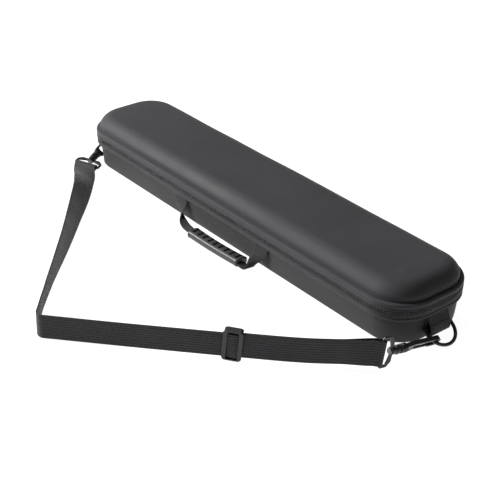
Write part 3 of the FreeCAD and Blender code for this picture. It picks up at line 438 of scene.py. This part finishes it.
def along_outline(outline, spacing, first=0.0, last=None):
    """Evenly spaced (point, normal, tangent) places on the widest outline, in mm."""
    total = outline_total(outline)
    last = total if last is None else last
    count = round((last - first) / spacing)
    places, j = [], 0
    ring = outline + [(*outline[0][:4], total)]
    for i in range(count):
        travel = first + (last - first) * i / count
        while ring[j + 1][4] < travel:
            j += 1
        share = (travel - ring[j][4]) / (ring[j + 1][4] - ring[j][4])
        x, y, nx, ny = (ring[j][k] * (1 - share) + ring[j + 1][k] * share for k in range(4))
        normal = Vector((nx, ny, 0)).normalized()
        places.append((Vector((x, y, 0)), normal, Vector((-normal.y, normal.x, 0))))
    return places


# ------------------------------------------------------------------ shells
ALONG, ENDS, TURN = 72, 8, 22
OUTLINE = plan_outline(ALONG, ENDS, TURN)


# the lid's skin is drawn in above the binding, between these heights
TUCK_LOW, TUCK_TOP, TUCK_DEPTH = 48, 60.5, 1.3


def lid_softness(x, ny, inset, height):
    """Outward and upward shift: shallow waves on the lid's sides and top, and the tuck."""
    share = smooth_step((height - LID_BINDING_TOP) / 12)
    out = share * (0.35 * math.sin(x / 41.0 + 0.6) + 0.25 * math.sin(x / 17.0 + ny * 2.0))
    up = share * (0.3 * math.sin(x / 63.0 + 1.1) + 0.15 * math.sin(x / 23.0))
    tuck = 0.0
    if inset < LID_INSET + 2:
        tuck = smooth_step((TUCK_TOP - height) / 7) * smooth_step((height - TUCK_LOW) / 2)
    return out * 0.6 - TUCK_DEPTH * tuck, up


def base_softness(x, ny, _inset, height):
    """Outward shift: shallow waves half-way up the base's wall."""
    share = smooth_step(height / 10) * smooth_step((WALL_TOP - height) / 8)
    return share * (0.3 * math.sin(x / 37.0) + 0.2 * math.sin(x / 15.0 + ny)), 0.0


def shell(name, body, profile, material, node, shape):
    """A closed shell: the profile swept round the outline, and both of its middles filled."""
    bm, grid = sweep(profile, OUTLINE, False, shape=shape)
    close_flat(bm, grid[0], ALONG, ENDS, TURN)
    close_flat(bm, grid[-1], ALONG, ENDS, TURN)
    return put(name, bm, body, material, (node,), flat_angle=50)


# inset of the innermost ring, where a shell's middle is filled flat
MIDDLE = 44


def lid_profile(skin, wall):
    """From the middle of the top, down the outside, round the rim and up the inside."""
    outer, inner = LID_INSET + skin, LID_INSET + skin + wall
    top, ceiling = HEIGHT - skin, HEIGHT - skin - wall
    centre = (LID_ROUND + LID_INSET, HEIGHT - LID_ROUND)
    outside = [(MIDDLE, top), (38, top), (32, top)]
    outside += arc_profile(centre, LID_ROUND - skin, 90, 0, 26)
    outside += [(outer, LID_LOW + 3), (outer, LID_LOW)]
    inside = [(inner, LID_LOW), (inner, LID_LOW + 3)]
    inside += arc_profile(centre, LID_ROUND - skin - wall, 0, 90, 10)
    return outside + inside + [(36, ceiling), (MIDDLE, ceiling)]


def wall_inset(height):
    """Inset of the drafted base wall at a height."""
    return FOOT_INSET + (WALL_INSET - FOOT_INSET) * min(1.0, height / WALL_TOP)


def base_profile(skin, wall):
    """From the middle of the bottom, up the outside, round the rim and down the inside."""
    start = [(MIDDLE, skin), (34, skin), (22, skin)]
    if skin == 0:
        start += arc_profile((FOOT_INSET + FOOT_ROUND - 0.3, FOOT_ROUND), FOOT_ROUND, -90, 0, 7)
        levels = (8, 14, 20, 26, 32, PARTING)
    else:
        levels = (skin, 8, 20, 32, PARTING)
    outside = start + [(wall_inset(h) + skin, h) for h in levels]
    inner = skin + wall
    inside = [(wall_inset(h) + inner, h) for h in (PARTING, 32, 20, 8, inner + 1.5)]
    return outside + inside + [(wall_inset(0) + inner + 1.5, inner), (30, inner), (MIDDLE, inner)]


# the covers stop just short of the linings
COVER = WALL - 0.02
shell("lid_cover", "lid", lid_profile(0.0, COVER), CLOTH_LID, "lid_shell", lid_softness)
shell("lid_inner", "lid", lid_profile(WALL, LINING), CLOTH_LINING, "lid_lining", None)
shell("base_cover", "case_base", base_profile(0.0, COVER), CLOTH_BASE_SHADED, "base_shell",
      base_softness)
shell("base_inner", "case_base", base_profile(WALL, LINING), CLOTH_LINING, "base_lining",
      None)


# ------------------------------------------------------------------ bindings and tapes
def band(name, body, profile, material, node):
    """A closed profile swept round the case."""
    bm, _ = sweep(profile, OUTLINE, True)
    return put(name, bm, body, material, (node,), flat_angle=60)


def rolled_profile(outer, inner, low, high, roundness):
    """A rolled binding: flat against the shell, full and round outside."""
    middle = (low + high) / 2
    half = (high - low) / 2
    points = [(inner, low)]
    for i in range(9):
        angle = math.radians(-80 + 20 * i)
        points.append((outer + roundness * (1 - math.cos(angle)), middle + half * math.sin(angle)))
    return points + [(inner, high)]


ROLL = 1.6
LID_ROLL = rolled_profile(0.0, LID_INSET + 2.4, LID_BINDING_LOW, LID_BINDING_TOP, ROLL)
BASE_ROLL = rolled_profile(0.7, WALL_INSET, WALL_TOP, BASE_BINDING_TOP, ROLL)
LID_TAPE = [(LID_INSET, LID_LOW), (2.0, LID_LOW), (2.0, 44.5), (0.7, 44.7), (0.45, 45.2), (0.5, 46.4),
            (0.8, LID_BINDING_LOW), (LID_INSET, LID_BINDING_LOW)]
BASE_TAPE = [(WALL_INSET, BASE_BINDING_TOP), (1.2, BASE_BINDING_TOP), (1.0, 37.2), (0.9, 38.6),
             (1.1, 40.0), (1.9, 40.3), (1.9, PARTING), (WALL_INSET, PARTING)]
band("lid_roll", "lid", LID_ROLL, ROLLED, "lid_binding")
band("base_roll", "case_base", BASE_ROLL, ROLLED, "base_binding")
band("lid_tape", "lid", LID_TAPE, TAPE, "lid_zip_tape")
band("base_tape", "case_base", BASE_TAPE, TAPE, "base_zip_tape")


def stitches(name, body, inset, height, half, radius, lean):
    """A row of short slanting threads round the case; lean is their slope in degrees."""
    bm = bmesh.new()
    lean = math.radians(lean)
    for point, normal, tangent in along_outline(OUTLINE, STITCH_PITCH):
        place = point - normal * inset + Vector((0, 0, height))
        axis = tangent * math.cos(lean) + Vector((0, 0, math.sin(lean)))
        capsule(bm, place * MM, axis, half * MM, radius * MM)
    bm.loops.layers.uv.new("cloth")
    put(name, bm, body, THREAD)


stitches("base_roll_stitches", "case_base", 0.8, 34.4, half=1.5, radius=0.32, lean=52)
stitches("base_tape_stitches", "case_base", 0.85, 38.6, half=1.0, radius=0.42, lean=-38)
stitches("lid_tape_stitches", "lid", 0.38, 45.6, half=1.0, radius=0.36, lean=28)


# ------------------------------------------------------------------ zip coils
def zip_span():
    """Travel along the outline where the zip begins and ends, near the rear corners."""
    angle = math.asin((ZIP_END - (HALF_WIDTH - CORNER)) / CORNER)
    first = CORNER * (math.pi / 2 - angle)
    front = 2 * (HALF_LENGTH - CORNER) + 2 * (2 * (HALF_WIDTH - CORNER)) + 3 * CORNER * math.pi / 2
    return first, front + CORNER * angle


def coil(name, body, node, height, lean):
    """One half of the zip's coil: a row of turns, each leaning from the vertical."""
    bm = bmesh.new()
    lean = math.radians(lean)
    first, last = zip_span()
    for point, normal, tangent in along_outline(OUTLINE, COIL_PITCH, first, last):
        place = point - normal * (COIL_INSET + COIL_BACK) + Vector((0, 0, height))
        axis = Vector((0, 0, 1)) * math.cos(lean) + tangent * math.sin(lean)
        capsule(bm, place * MM, axis, COIL_HALF * MM, COIL_RADIUS * MM, 6)
    put(name, bm, body, COIL, (node,))


coil("lid_coil", "lid", "lid_zip_coil", LID_LOW + COIL_OFF, COIL_LEAN)
coil("base_coil", "case_base", "base_zip_coil", PARTING - COIL_OFF, -COIL_LEAN)


def rear_strip():
    """Fabric along the back that joins the halves, between base and lid."""
    bm = bmesh.new()
    uv = bm.loops.layers.uv.new("cloth")
    y_out, y_in = HALF_WIDTH - TAPE_INSET + 1.35, HALF_WIDTH - TAPE_INSET + 0.35
    levels = [STRIP_LOW + STRIP_TALL * i / 10 for i in range(11)]
    section = [(y_out - 0.25 * abs(i - 5) / 5, z) for i, z in enumerate(levels)]
    section += [(y_in, z) for z in reversed(levels)]
    rings = [[bm.verts.new(((STRIP_START + STRIP_STEP * c) * MM, y * MM, z * MM)) for y, z in section]
             for c in range(STRIP_COLUMNS)]
    for c in range(STRIP_COLUMNS - 1):
        for k in range(len(section)):
            n = (k + 1) % len(section)
            face = bm.faces.new((rings[c][k], rings[c + 1][k], rings[c + 1][n], rings[c][n]))
            for loop in face.loops:
                loop[uv].uv = (loop.vert.co.x, loop.vert.co.z)
    bm.faces.new(rings[0])
    bm.faces.new(rings[-1][::-1])
    strip = put("rear_strip", bm, None, TAPE, ("rear_hinge_strip",), flat_angle=40)
    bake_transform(strip)


rear_strip()


# ------------------------------------------------------------------ webbing ribbons
def loft(bm, rings, travel, across_at):
    """Joins the rings of a strip and caps its ends; UV is the travel and the place across."""
    uv = bm.loops.layers.uv.new("cloth")
    for i in range(len(rings) - 1):
        for k in range(len(across_at)):
            n = (k + 1) % len(across_at)
            face = bm.faces.new((rings[i][k], rings[i][n], rings[i + 1][n], rings[i + 1][k]))
            for loop, (row, column) in zip(face.loops, ((i, k), (i, n), (i + 1, n), (i + 1, k))):
                loop[uv].uv = (travel[row], across_at[column])
    bm.faces.new(rings[0])
    bm.faces.new(rings[-1][::-1])


def ribbon(name, stations, width, thickness, body, material, replaces=()):
    """Webbing along stations (centre, across, normal) in metres, with rounded selvedges."""
    half, thick, columns = width / 2, thickness / 2, 12
    flat, eighth = half - thick, math.pi / 4
    section = [(-flat + 2 * flat * i / columns, thick) for i in range(columns + 1)]
    section += [(flat + thick * math.cos(a), thick * math.sin(a)) for a in (eighth, 0, -eighth)]
    section += [(flat - 2 * flat * i / columns, -thick) for i in range(columns + 1)]
    section += [(-flat - thick * math.cos(a), thick * math.sin(a)) for a in (-eighth, 0, eighth)]
    bm = bmesh.new()
    rings, travel, last = [], [], None
    for centre, across, normal in stations:
        across = across.normalized()
        normal = (normal - across * normal.dot(across)).normalized()
        rings.append([bm.verts.new(centre + across * a + normal * b) for a, b in section])
        travel.append(travel[-1] + (centre - last).length if last else 0.0)
        last = centre
    loft(bm, rings, travel, [place + half for place, _ in section])
    return put(name, bm, body, material, replaces, flat_angle=60)


def spline_points(points, resolution=10):
    """Points read from the smooth NURBS line through a route."""
    curve = bpy.data.curves.new("route", "CURVE")
    curve.dimensions = "3D"
    curve.resolution_u = resolution
    spline = curve.splines.new("NURBS")
    spline.points.add(len(points) - 1)
    for target, point in zip(spline.points, points):
        target.co = (*point, 1.0)
    spline.order_u = 3
    spline.use_endpoint_u = True
    holder = bpy.data.objects.new("route", curve)
    bpy.context.scene.collection.objects.link(holder)
    mesh = bpy.data.meshes.new_from_object(holder)
    line = [vertex.co.copy() for vertex in mesh.vertices]
    bpy.data.objects.remove(holder)
    bpy.data.meshes.remove(mesh)
    return line


# the shoulder strap's route, in metres, and the tilt of its width in degrees
ROUTE = [
    (0.3084, -0.0954, 0.0204), (0.2840, -0.1236, 0.0198), (0.2570, -0.1536, 0.0195),
    (0.2100, -0.1970, 0.0194), (0.1620, -0.2385, 0.0180), (0.1170, -0.2760, 0.0160),
    (0.0800, -0.3080, 0.0154), (0.0560, -0.3295, 0.0154), (0.0430, -0.3412, 0.0154),
    (0.0285, -0.3305, 0.0154), (0.0020, -0.3098, 0.0154), (-0.0450, -0.2695, 0.0154),
    (-0.1010, -0.2195, 0.0151), (-0.1560, -0.1740, 0.0140), (-0.2060, -0.1325, 0.0118),
    (-0.2450, -0.1055, 0.0088), (-0.2730, -0.0860, 0.0062)]
TILT = [90, 90, 90, 90, 90, 90, 90, 90, 91, 95, 98, 93, 80, 66, 48, 30, 8]


def hook_frame(name):
    """Swivel point and axis of a hook, from its joint."""
    joint = next(j for j in frame["joints"] if j["name"] == f"hook_{name}_swivel")
    return Vector(joint["pos_m"]), Vector(joint["axis"]).normalized()


def eye_frame(name, turn_degrees, arriving):
    """Middle of the eye's far bar, and axes: arriving, across the layers, along the bar."""
    origin, axis = hook_frame(name)
    side = Vector((0, 0, 1)).cross(axis).normalized()
    upright = axis.cross(side)
    bar = Matrix.Rotation(math.radians(turn_degrees), 3, axis) @ upright
    x = (arriving - bar * arriving.dot(bar)).normalized()
    return origin - axis * (EYE_BAR * MM), x, bar.cross(x), bar


def strap_pieces():
    """The strap, its doubled layer, its sewn tail and its two folds; also its middle line and length."""
    line = spline_points(ROUTE, 12)
    marks = [0.0]
    for a, b in zip(line, line[1:]):
        marks.append(marks[-1] + (b - a).length)
    corners = [Vector(p) for p in ROUTE]
    legs = [0.0]
    for a, b in zip(corners, corners[1:]):
        legs.append(legs[-1] + (b - a).length)

    def tilt_at(share):
        distance = share * legs[-1]
        i = next(k for k in range(len(legs) - 1) if distance <= legs[k + 1] + 1e-9)
        part = (distance - legs[i]) / (legs[i + 1] - legs[i])
        return TILT[i] * (1 - part) + TILT[i + 1] * part

    leaving = (line[1] - line[0]).normalized()
    arriving = (line[-1] - line[-2]).normalized()
    right = eye_frame("right", EYE_TURN_RIGHT, -Vector((leaving.x, leaving.y, 0)).normalized())
    left = eye_frame("left", EYE_TURN_LEFT, Vector((arriving.x, arriving.y, 0)).normalized())

    def run(right_side, left_side, first, last):
        """Stations of one layer between two marks; +1 is the layer nearer the case, or the upper one."""
        stations = []
        for i, place in enumerate(line):
            if not first <= marks[i] <= last:
                continue
            ahead = line[min(i + 1, len(line) - 1)] - line[max(i - 1, 0)]
            ahead.z = 0
            ahead.normalize()
            to_case = Vector((ahead.y, -ahead.x, 0))
            tilt = math.radians(tilt_at(marks[i] / marks[-1]))
            across = to_case * math.cos(tilt) - Vector((0, 0, 1)) * math.sin(tilt)
            normal = ahead.cross(across)
            near = 1 - smooth_step(marks[i] / (STRAP_EASE * MM))
            near_left = 1 - smooth_step((marks[-1] - marks[i]) / (STRAP_EASE * MM))
            point = place.copy()
            if right_side > 0:
                point += to_case * (LAYER_GAP * MM * (1 - near))
            if left_side < 0:
                point -= left[2] * (LAYER_GAP * MM * (1 - near_left))
            for (bar_point, x, y, bar), share, side, anchor in (
                    (right, near, right_side, line[0]), (left, near_left, left_side, line[-1])):
                if share > 0:
                    across = across.lerp(bar if bar.dot(across) > 0 else -bar, share)
                    normal = normal.lerp(y if y.dot(normal) > 0 else -y, share)
                    seam = bar_point - x * (FOLD_TAIL * MM) + y * (side * LAYER_SPREAD * MM)
                    point += (seam - anchor) * share
            stations.append((point, across, normal))
        return stations

    def layer(name, stations, nodes):
        return ribbon(name, stations, STRAP_WIDTH * MM, STRAP_THICK * MM, "case_base",
                      STRAP, nodes)

    strap = layer("strap", run(-1, 1, 0.0, 1.0), ("strap_front_run", "strap_rear_run"))
    back = layer("strap_folded_back", run(1, 1, 0.0, STRAP_DOUBLED * MM), ("strap_return_layer",))
    tail = layer("strap_sewn_tail", run(-1, -1, marks[-1] - STRAP_TAIL * MM, 1.0), ())

    def fold(name, eye, node):
        """Webbing round an eye's far bar, open towards the strap."""
        bar_point, x, y, bar = eye
        spread = LAYER_SPREAD * MM
        path = [(-FOLD_TAIL * MM, -spread), (-FOLD_TAIL * MM / 2, -spread)]
        path += [(spread * math.sin(math.radians(a)), -spread * math.cos(math.radians(a)))
                 for a in range(0, 181, 15)]
        path += [(-FOLD_TAIL * MM / 2, spread), (-FOLD_TAIL * MM, spread)]
        stations = []
        for i, (a, b) in enumerate(path):
            before, after = path[max(i - 1, 0)], path[min(i + 1, len(path) - 1)]
            step = x * (after[0] - before[0]) + y * (after[1] - before[1])
            stations.append((bar_point + x * a + y * b, bar, step.cross(bar)))
        return layer(name, stations, (node,))

    folds = [fold("strap_fold_near", right, "strap_fold_right"),
             fold("strap_fold_far", left, "strap_fold_left")]
    return strap, [back, tail, *folds], line, marks[-1]


strap, strap_layers, strap_line, strap_length = strap_pieces()


# ------------------------------------------------------------------ handle
# share of the way to the grip, y, height, and the width's x and forward parts, from root to grip
ARM_PLACES = {
    -1: [(0.0, -60.1, 31.0, 25.0, 0.0), (0.0, -60.4, 26.0, 25.0, 0.0), (0.0, -62.4, 19.0, 23.0, 2.5),
         (0.09, -65.2, 13.4, 15.0, 7.5), (0.2, -68.4, 9.8, 8.0, 11.0), (0.36, -71.6, 7.0, 3.0, 12.6),
         (0.62, -75.2, 5.0, 0.8, 13.0), (1.0, -77.5, 5.65, 0.0, 12.0), (1.05, -77.5, 5.65, 0.0, 12.0)],
    1: [(0.0, -60.1, 31.0, 25.0, 0.0), (0.0, -60.4, 26.0, 25.0, 0.0), (0.0, -62.6, 19.0, 23.0, 3.5),
        (0.13, -66.8, 13.4, 15.0, 9.0), (0.21, -71.4, 8.4, 6.0, 11.5), (0.23, -74.6, 4.6, 2.5, 12.5),
        (0.42, -76.6, 2.9, 1.0, 12.5), (1.0, -77.5, 5.65, 0.0, 12.0), (1.1, -77.5, 5.65, 0.0, 12.0)]}


def handle_arms():
    """The two webbing runs from the case to the grip; each twists and narrows along smooth lines."""
    for side, name, grip_x in ((-1, "left", GRIP_LOW), (1, "right", GRIP_HIGH)):
        rows = ARM_PLACES[side]
        root_x = side * HANDLE_ROOT_X
        places = [((root_x + (grip_x - root_x) * share) * MM, y * MM, z * MM)
                  for share, y, z, _, _ in rows]
        widths = [(wide * MM, side * forward * MM, 0.0) for _, _, _, wide, forward in rows]
        centres, spans = spline_points(places, 9), spline_points(widths, 9)
        stations = []
        for i, (centre, span) in enumerate(zip(centres, spans)):
            step = centres[min(i + 1, len(centres) - 1)] - centres[max(i - 1, 0)]
            stations.append((centre, span, span.cross(step)))
        webbing_strip(f"handle_arm_{name}", stations, [span.length for span in spans],
                      f"handle_webbing_{name}")


def webbing_strip(name, stations, widths, node):
    """Handle webbing whose width narrows: a strip with its own width at each station."""
    bm = bmesh.new()
    thick, columns = HANDLE_HALF_THICK * MM, 10
    rings, travel, last = [], [0.0], None
    for (centre, across, normal), width in zip(stations, widths):
        across = across.normalized()
        normal = (normal - across * normal.dot(across)).normalized()
        flat = width / 2 - thick
        section = [(-flat + 2 * flat * i / columns, thick) for i in range(columns + 1)]
        section += [(flat + thick, 0.0)]
        section += [(flat - 2 * flat * i / columns, -thick) for i in range(columns + 1)]
        section += [(-flat - thick, 0.0)]
        rings.append([bm.verts.new(centre + across * a + normal * b) for a, b in section])
        if last:
            travel.append(travel[-1] + (centre - last).length)
        last = centre
    across_at = [HANDLE_WIDTH * MM * i / columns for i in range(columns + 1)]
    selvedge = 0.6
    across_at += [(HANDLE_WIDTH + selvedge) * MM] + across_at[::-1] + [-selvedge * MM]
    loft(bm, rings, travel, across_at)
    strip = put(name, bm, None, HANDLE, (node,), flat_angle=60)
    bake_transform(strip)


def grip():
    """Moulded grip: round-cornered bar, finger slots across the back of its top, flared collars."""
    low, high = GRIP_LOW, GRIP_HIGH
    first = (low + high) / 2 - (GRIP_SLOTS - 1) * SLOT_PITCH / 2
    steps, around = 260, 48
    bm = bmesh.new()
    rings = []
    for i in range(steps + 1):
        x = low + (high - low) * i / steps
        from_end = min(x - low, high - x)
        flare = 1.0 + 0.07 * (1 - smooth_step(from_end / 7)) - 0.22 * (1 - smooth_step(from_end / 1.6))
        waist = 1.0 - 0.05 * math.sin(math.pi * (x - low) / (high - low))
        nearest = min(abs(x - first - r * SLOT_PITCH) for r in range(GRIP_SLOTS))
        groove = 1 - smooth_step((nearest - 0.9) / 0.8)
        yaw = 3.0 * (x - (low + high) / 2) / (high - low)
        bow = 1.6 * math.sin(math.pi * (x - low) / (high - low)) - yaw
        ring = []
        for k in range(around):
            angle = math.tau * k / around
            c, s = math.cos(angle), math.sin(angle)
            y = GRIP_HALF_Y * math.copysign(abs(c) ** 0.6, c) * flare * waist
            z = GRIP_HALF_Z * math.copysign(abs(s) ** 0.7, s) * min(flare, 1.0)
            top = smooth_step((s - 0.1) / 0.35) * smooth_step((5.6 - abs(y - 1.6)) / 1.0)
            z -= SLOT_DEPTH * groove * top
            ring.append(bm.verts.new((x * MM, (GRIP_Y - bow + y) * MM, (GRIP_Z + z) * MM)))
        rings.append(ring)
    for low_ring, high_ring in zip(rings, rings[1:]):
        for k in range(around):
            n = (k + 1) % around
            bm.faces.new((low_ring[k], low_ring[n], high_ring[n], high_ring[k]))
    bm.faces.new(rings[0])
    bm.faces.new(rings[-1][::-1])
    bm.loops.layers.uv.new("cloth")
    put("grip", bm, "handle", RUBBER, ("handle_grip",), flat_angle=60)


handle_arms()
grip()


def anchors():
    """Sewn webbing roots of the handle with a bar of stitching."""
    for name in ("left", "right"):
        low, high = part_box(f"handle_anchor_{name}")
        middle = (low + high) / 2
        lean = math.atan((FOOT_INSET - WALL_INSET) / WALL_TOP)
        up = Vector((0, -math.sin(lean), math.cos(lean)))
        out = Vector((0, math.cos(lean), math.sin(lean)))
        stations = [(middle + up * (t * ROOT_HALF_TALL * MM), Vector((1, 0, 0)), out)
                    for t in (-1, -0.5, 0, 0.5, 1)]
        ribbon(f"handle_root_{name}", stations, HANDLE_WIDTH * MM, ROOT_THICK * MM, "case_base",
               HANDLE, (f"handle_anchor_{name}",))
        bm = bmesh.new()
        for i in range(15):
            place = middle - out * (0.78 * MM) + Vector(((-11.2 + 1.6 * i) * MM, 0, 0)) - up * (0.4 * MM)
            capsule(bm, place, Vector((1, 0, 0.5)), 0.85 * MM, 0.22 * MM)
        bm.loops.layers.uv.new("cloth")
        put(f"handle_root_stitches_{name}", bm, "case_base", THREAD)


anchors()


# ------------------------------------------------------------------ ring tabs
def ring_tab(name, side):
    """Webbing folded round the ring's bar: two layers sewn together below the binding."""
    low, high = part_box(f"ring_tab_{name}")
    y = (low.y + high.y) / 2
    radius = RING_SPACE + TAB_WALL / 2
    inner_x, outer_x = TAB_X - radius, TAB_X + radius
    top_in = HALF_LENGTH - WALL_INSET + 0.35
    first_layer, second_layer = top_in + 0.5 * TAB_WALL, top_in + 1.5 * TAB_WALL
    path = [(second_layer + 0.1, TAB_TOP_Z), (second_layer + 1.0, 27.0), (outer_x - 0.6, 20.0),
            (outer_x, 16.4)]
    path += [(TAB_X + radius * math.cos(a), TAB_FOOT_Z + radius * math.sin(a))
             for a in (math.radians(degrees) for degrees in range(0, -181, -15))]
    path += [(inner_x, 16.4), (inner_x + 0.5, 20.0), (first_layer, 27.0), (first_layer, TAB_TOP_Z)]
    stations = []
    for i, (x, z) in enumerate(path):
        before, after = path[max(i - 1, 0)], path[min(i + 1, len(path) - 1)]
        step = Vector((side * (after[0] - before[0]), 0, after[1] - before[1]))
        across = Vector((0, 1, 0))
        stations.append((Vector((side * x, y / MM, z)) * MM, across, step.cross(across)))
    ribbon(f"tab_{name}", stations, high.y - low.y, TAB_WALL * MM, "case_base",
           HANDLE, (f"ring_tab_{name}",))
    bm = bmesh.new()
    face = TAB_WALL / 2
    for x, height in ((outer_x - 1.0 + face, 21.5), (second_layer + 0.6 + face, 29.2)):
        for i in range(15):
            place = Vector((side * x, (y / MM) - 13 + 26 * i / 14, height)) * MM
            capsule(bm, place, Vector((0, 1, 0.12)), 0.75 * MM, 0.2 * MM)
    bm.loops.layers.uv.new("cloth")
    put(f"tab_stitches_{name}", bm, "case_base", THREAD)


ring_tab("left", -1)
ring_tab("right", 1)


# ------------------------------------------------------------------ cast and moulded hardware
def cast(node, body, material, voxel, rounds=6):
    """Rounds a CAD node's edges as a casting has them: a copy remeshed finely, then relaxed."""
    obj = bpy.data.objects.new(f"{node}_cast", frame["nodes"][node].data.copy())
    bpy.context.scene.collection.objects.link(obj)
    remesh = obj.modifiers.new("remesh", "REMESH")
    remesh.mode, remesh.voxel_size, remesh.use_smooth_shade = "VOXEL", voxel * MM, True
    relax = obj.modifiers.new("relax", "SMOOTH")
    relax.factor, relax.iterations = 0.5, rounds
    bpy.context.view_layer.update()
    final = bpy.data.meshes.new_from_object(obj.evaluated_get(bpy.context.evaluated_depsgraph_get()))
    obj.modifiers.clear()
    obj.data = final
    final.materials.clear()
    final.materials.append(material)
    for polygon in final.polygons:
        polygon.use_smooth = True
    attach(obj, body)
    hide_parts(node)
    return obj


def adjuster_frame():
    """Middle of the adjuster, and its axes: along the strap, up its sides, and out of its front face."""
    joint = next(j for j in frame["joints"] if j["name"] == "adjuster_slide")
    along = Vector(joint["axis"]).normalized()
    lean = math.radians(ADJUSTER_LEAN)
    up = Vector((0, 0, 1))
    low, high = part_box("strap_adjuster")
    return ((low + high) / 2, along * math.cos(lean) + up * math.sin(lean),
            up * math.cos(lean) - along * math.sin(lean), up.cross(along))


def arc_frame_corners(obj, centre, wide, tall, halves, radius):
    """Draws the square outer corners of a frame in to arcs, and what lies inside them with them."""
    for vertex in obj.data.vertices:
        offset = vertex.co - centre
        a, b = offset.dot(wide) / MM, offset.dot(tall) / MM
        past_a, past_b = abs(a) - (halves[0] - radius), abs(b) - (halves[1] - radius)
        if past_a > 0 and past_b > 0:
            pull = 1 - max(past_a, past_b) / math.hypot(past_a, past_b)
            inward = wide * (math.copysign(past_a * pull, a) * MM)
            vertex.co -= inward + tall * (math.copysign(past_b * pull, b) * MM)


def strap_over_bar():
    """The webbing that swells forward in the adjuster's window, where it passes over the hidden bar."""
    stations = []
    for i in range(13):
        a = -6.6 + 1.1 * i
        rise = 1.2 + 1.7 * math.cos(math.pi * a / 14.4)
        place = adjuster_place + adjuster_along * (a * MM) + adjuster_front * ((rise + BAR_DEPTH) * MM)
        stations.append((place, Vector((0, 0, 1)), adjuster_front))
    return ribbon("strap_over_bar", stations, 29.6 * MM, 1.3 * MM, "adjuster", STRAP)


for end in ("left", "right"):
    cast(f"d_ring_{end}", f"ring_{end}", HARDWARE, 0.35, 3)
    cast(f"hook_eye_{end}", "case_base", HARDWARE, 0.3)
    cast(f"hook_body_{end}", f"hook_{end}", HARDWARE, 0.26)
    cast(f"hook_gate_{end}", f"gate_{end}", HARDWARE, 0.22, 4)
    for what in ("pin", "spring"):
        node = frame["nodes"][f"hook_{what}_{end}"]
        for place in node.material_slots:
            place.material = STEEL
cast_adjuster = cast("strap_adjuster", "adjuster", PLASTIC, 0.35)
adjuster_place, adjuster_along, adjuster_up, adjuster_front = adjuster_frame()
arc_frame_corners(cast_adjuster, adjuster_place, adjuster_along, adjuster_up, ADJUSTER_HALVES,
                  ADJUSTER_ROUND)
over_bar = strap_over_bar()
for which in ("front", "rear"):
    cast(f"zip_slider_{which}", f"slider_{which}", HARDWARE, 0.2, 4)
    cast(f"zip_pull_{which}", f"pull_{which}", HARDWARE, 0.2, 5)
for end in ("left", "right"):
    cast(f"zip_stop_{end}", "case_base", HARDWARE, 0.2, 4)

add_camera()
add_stage()
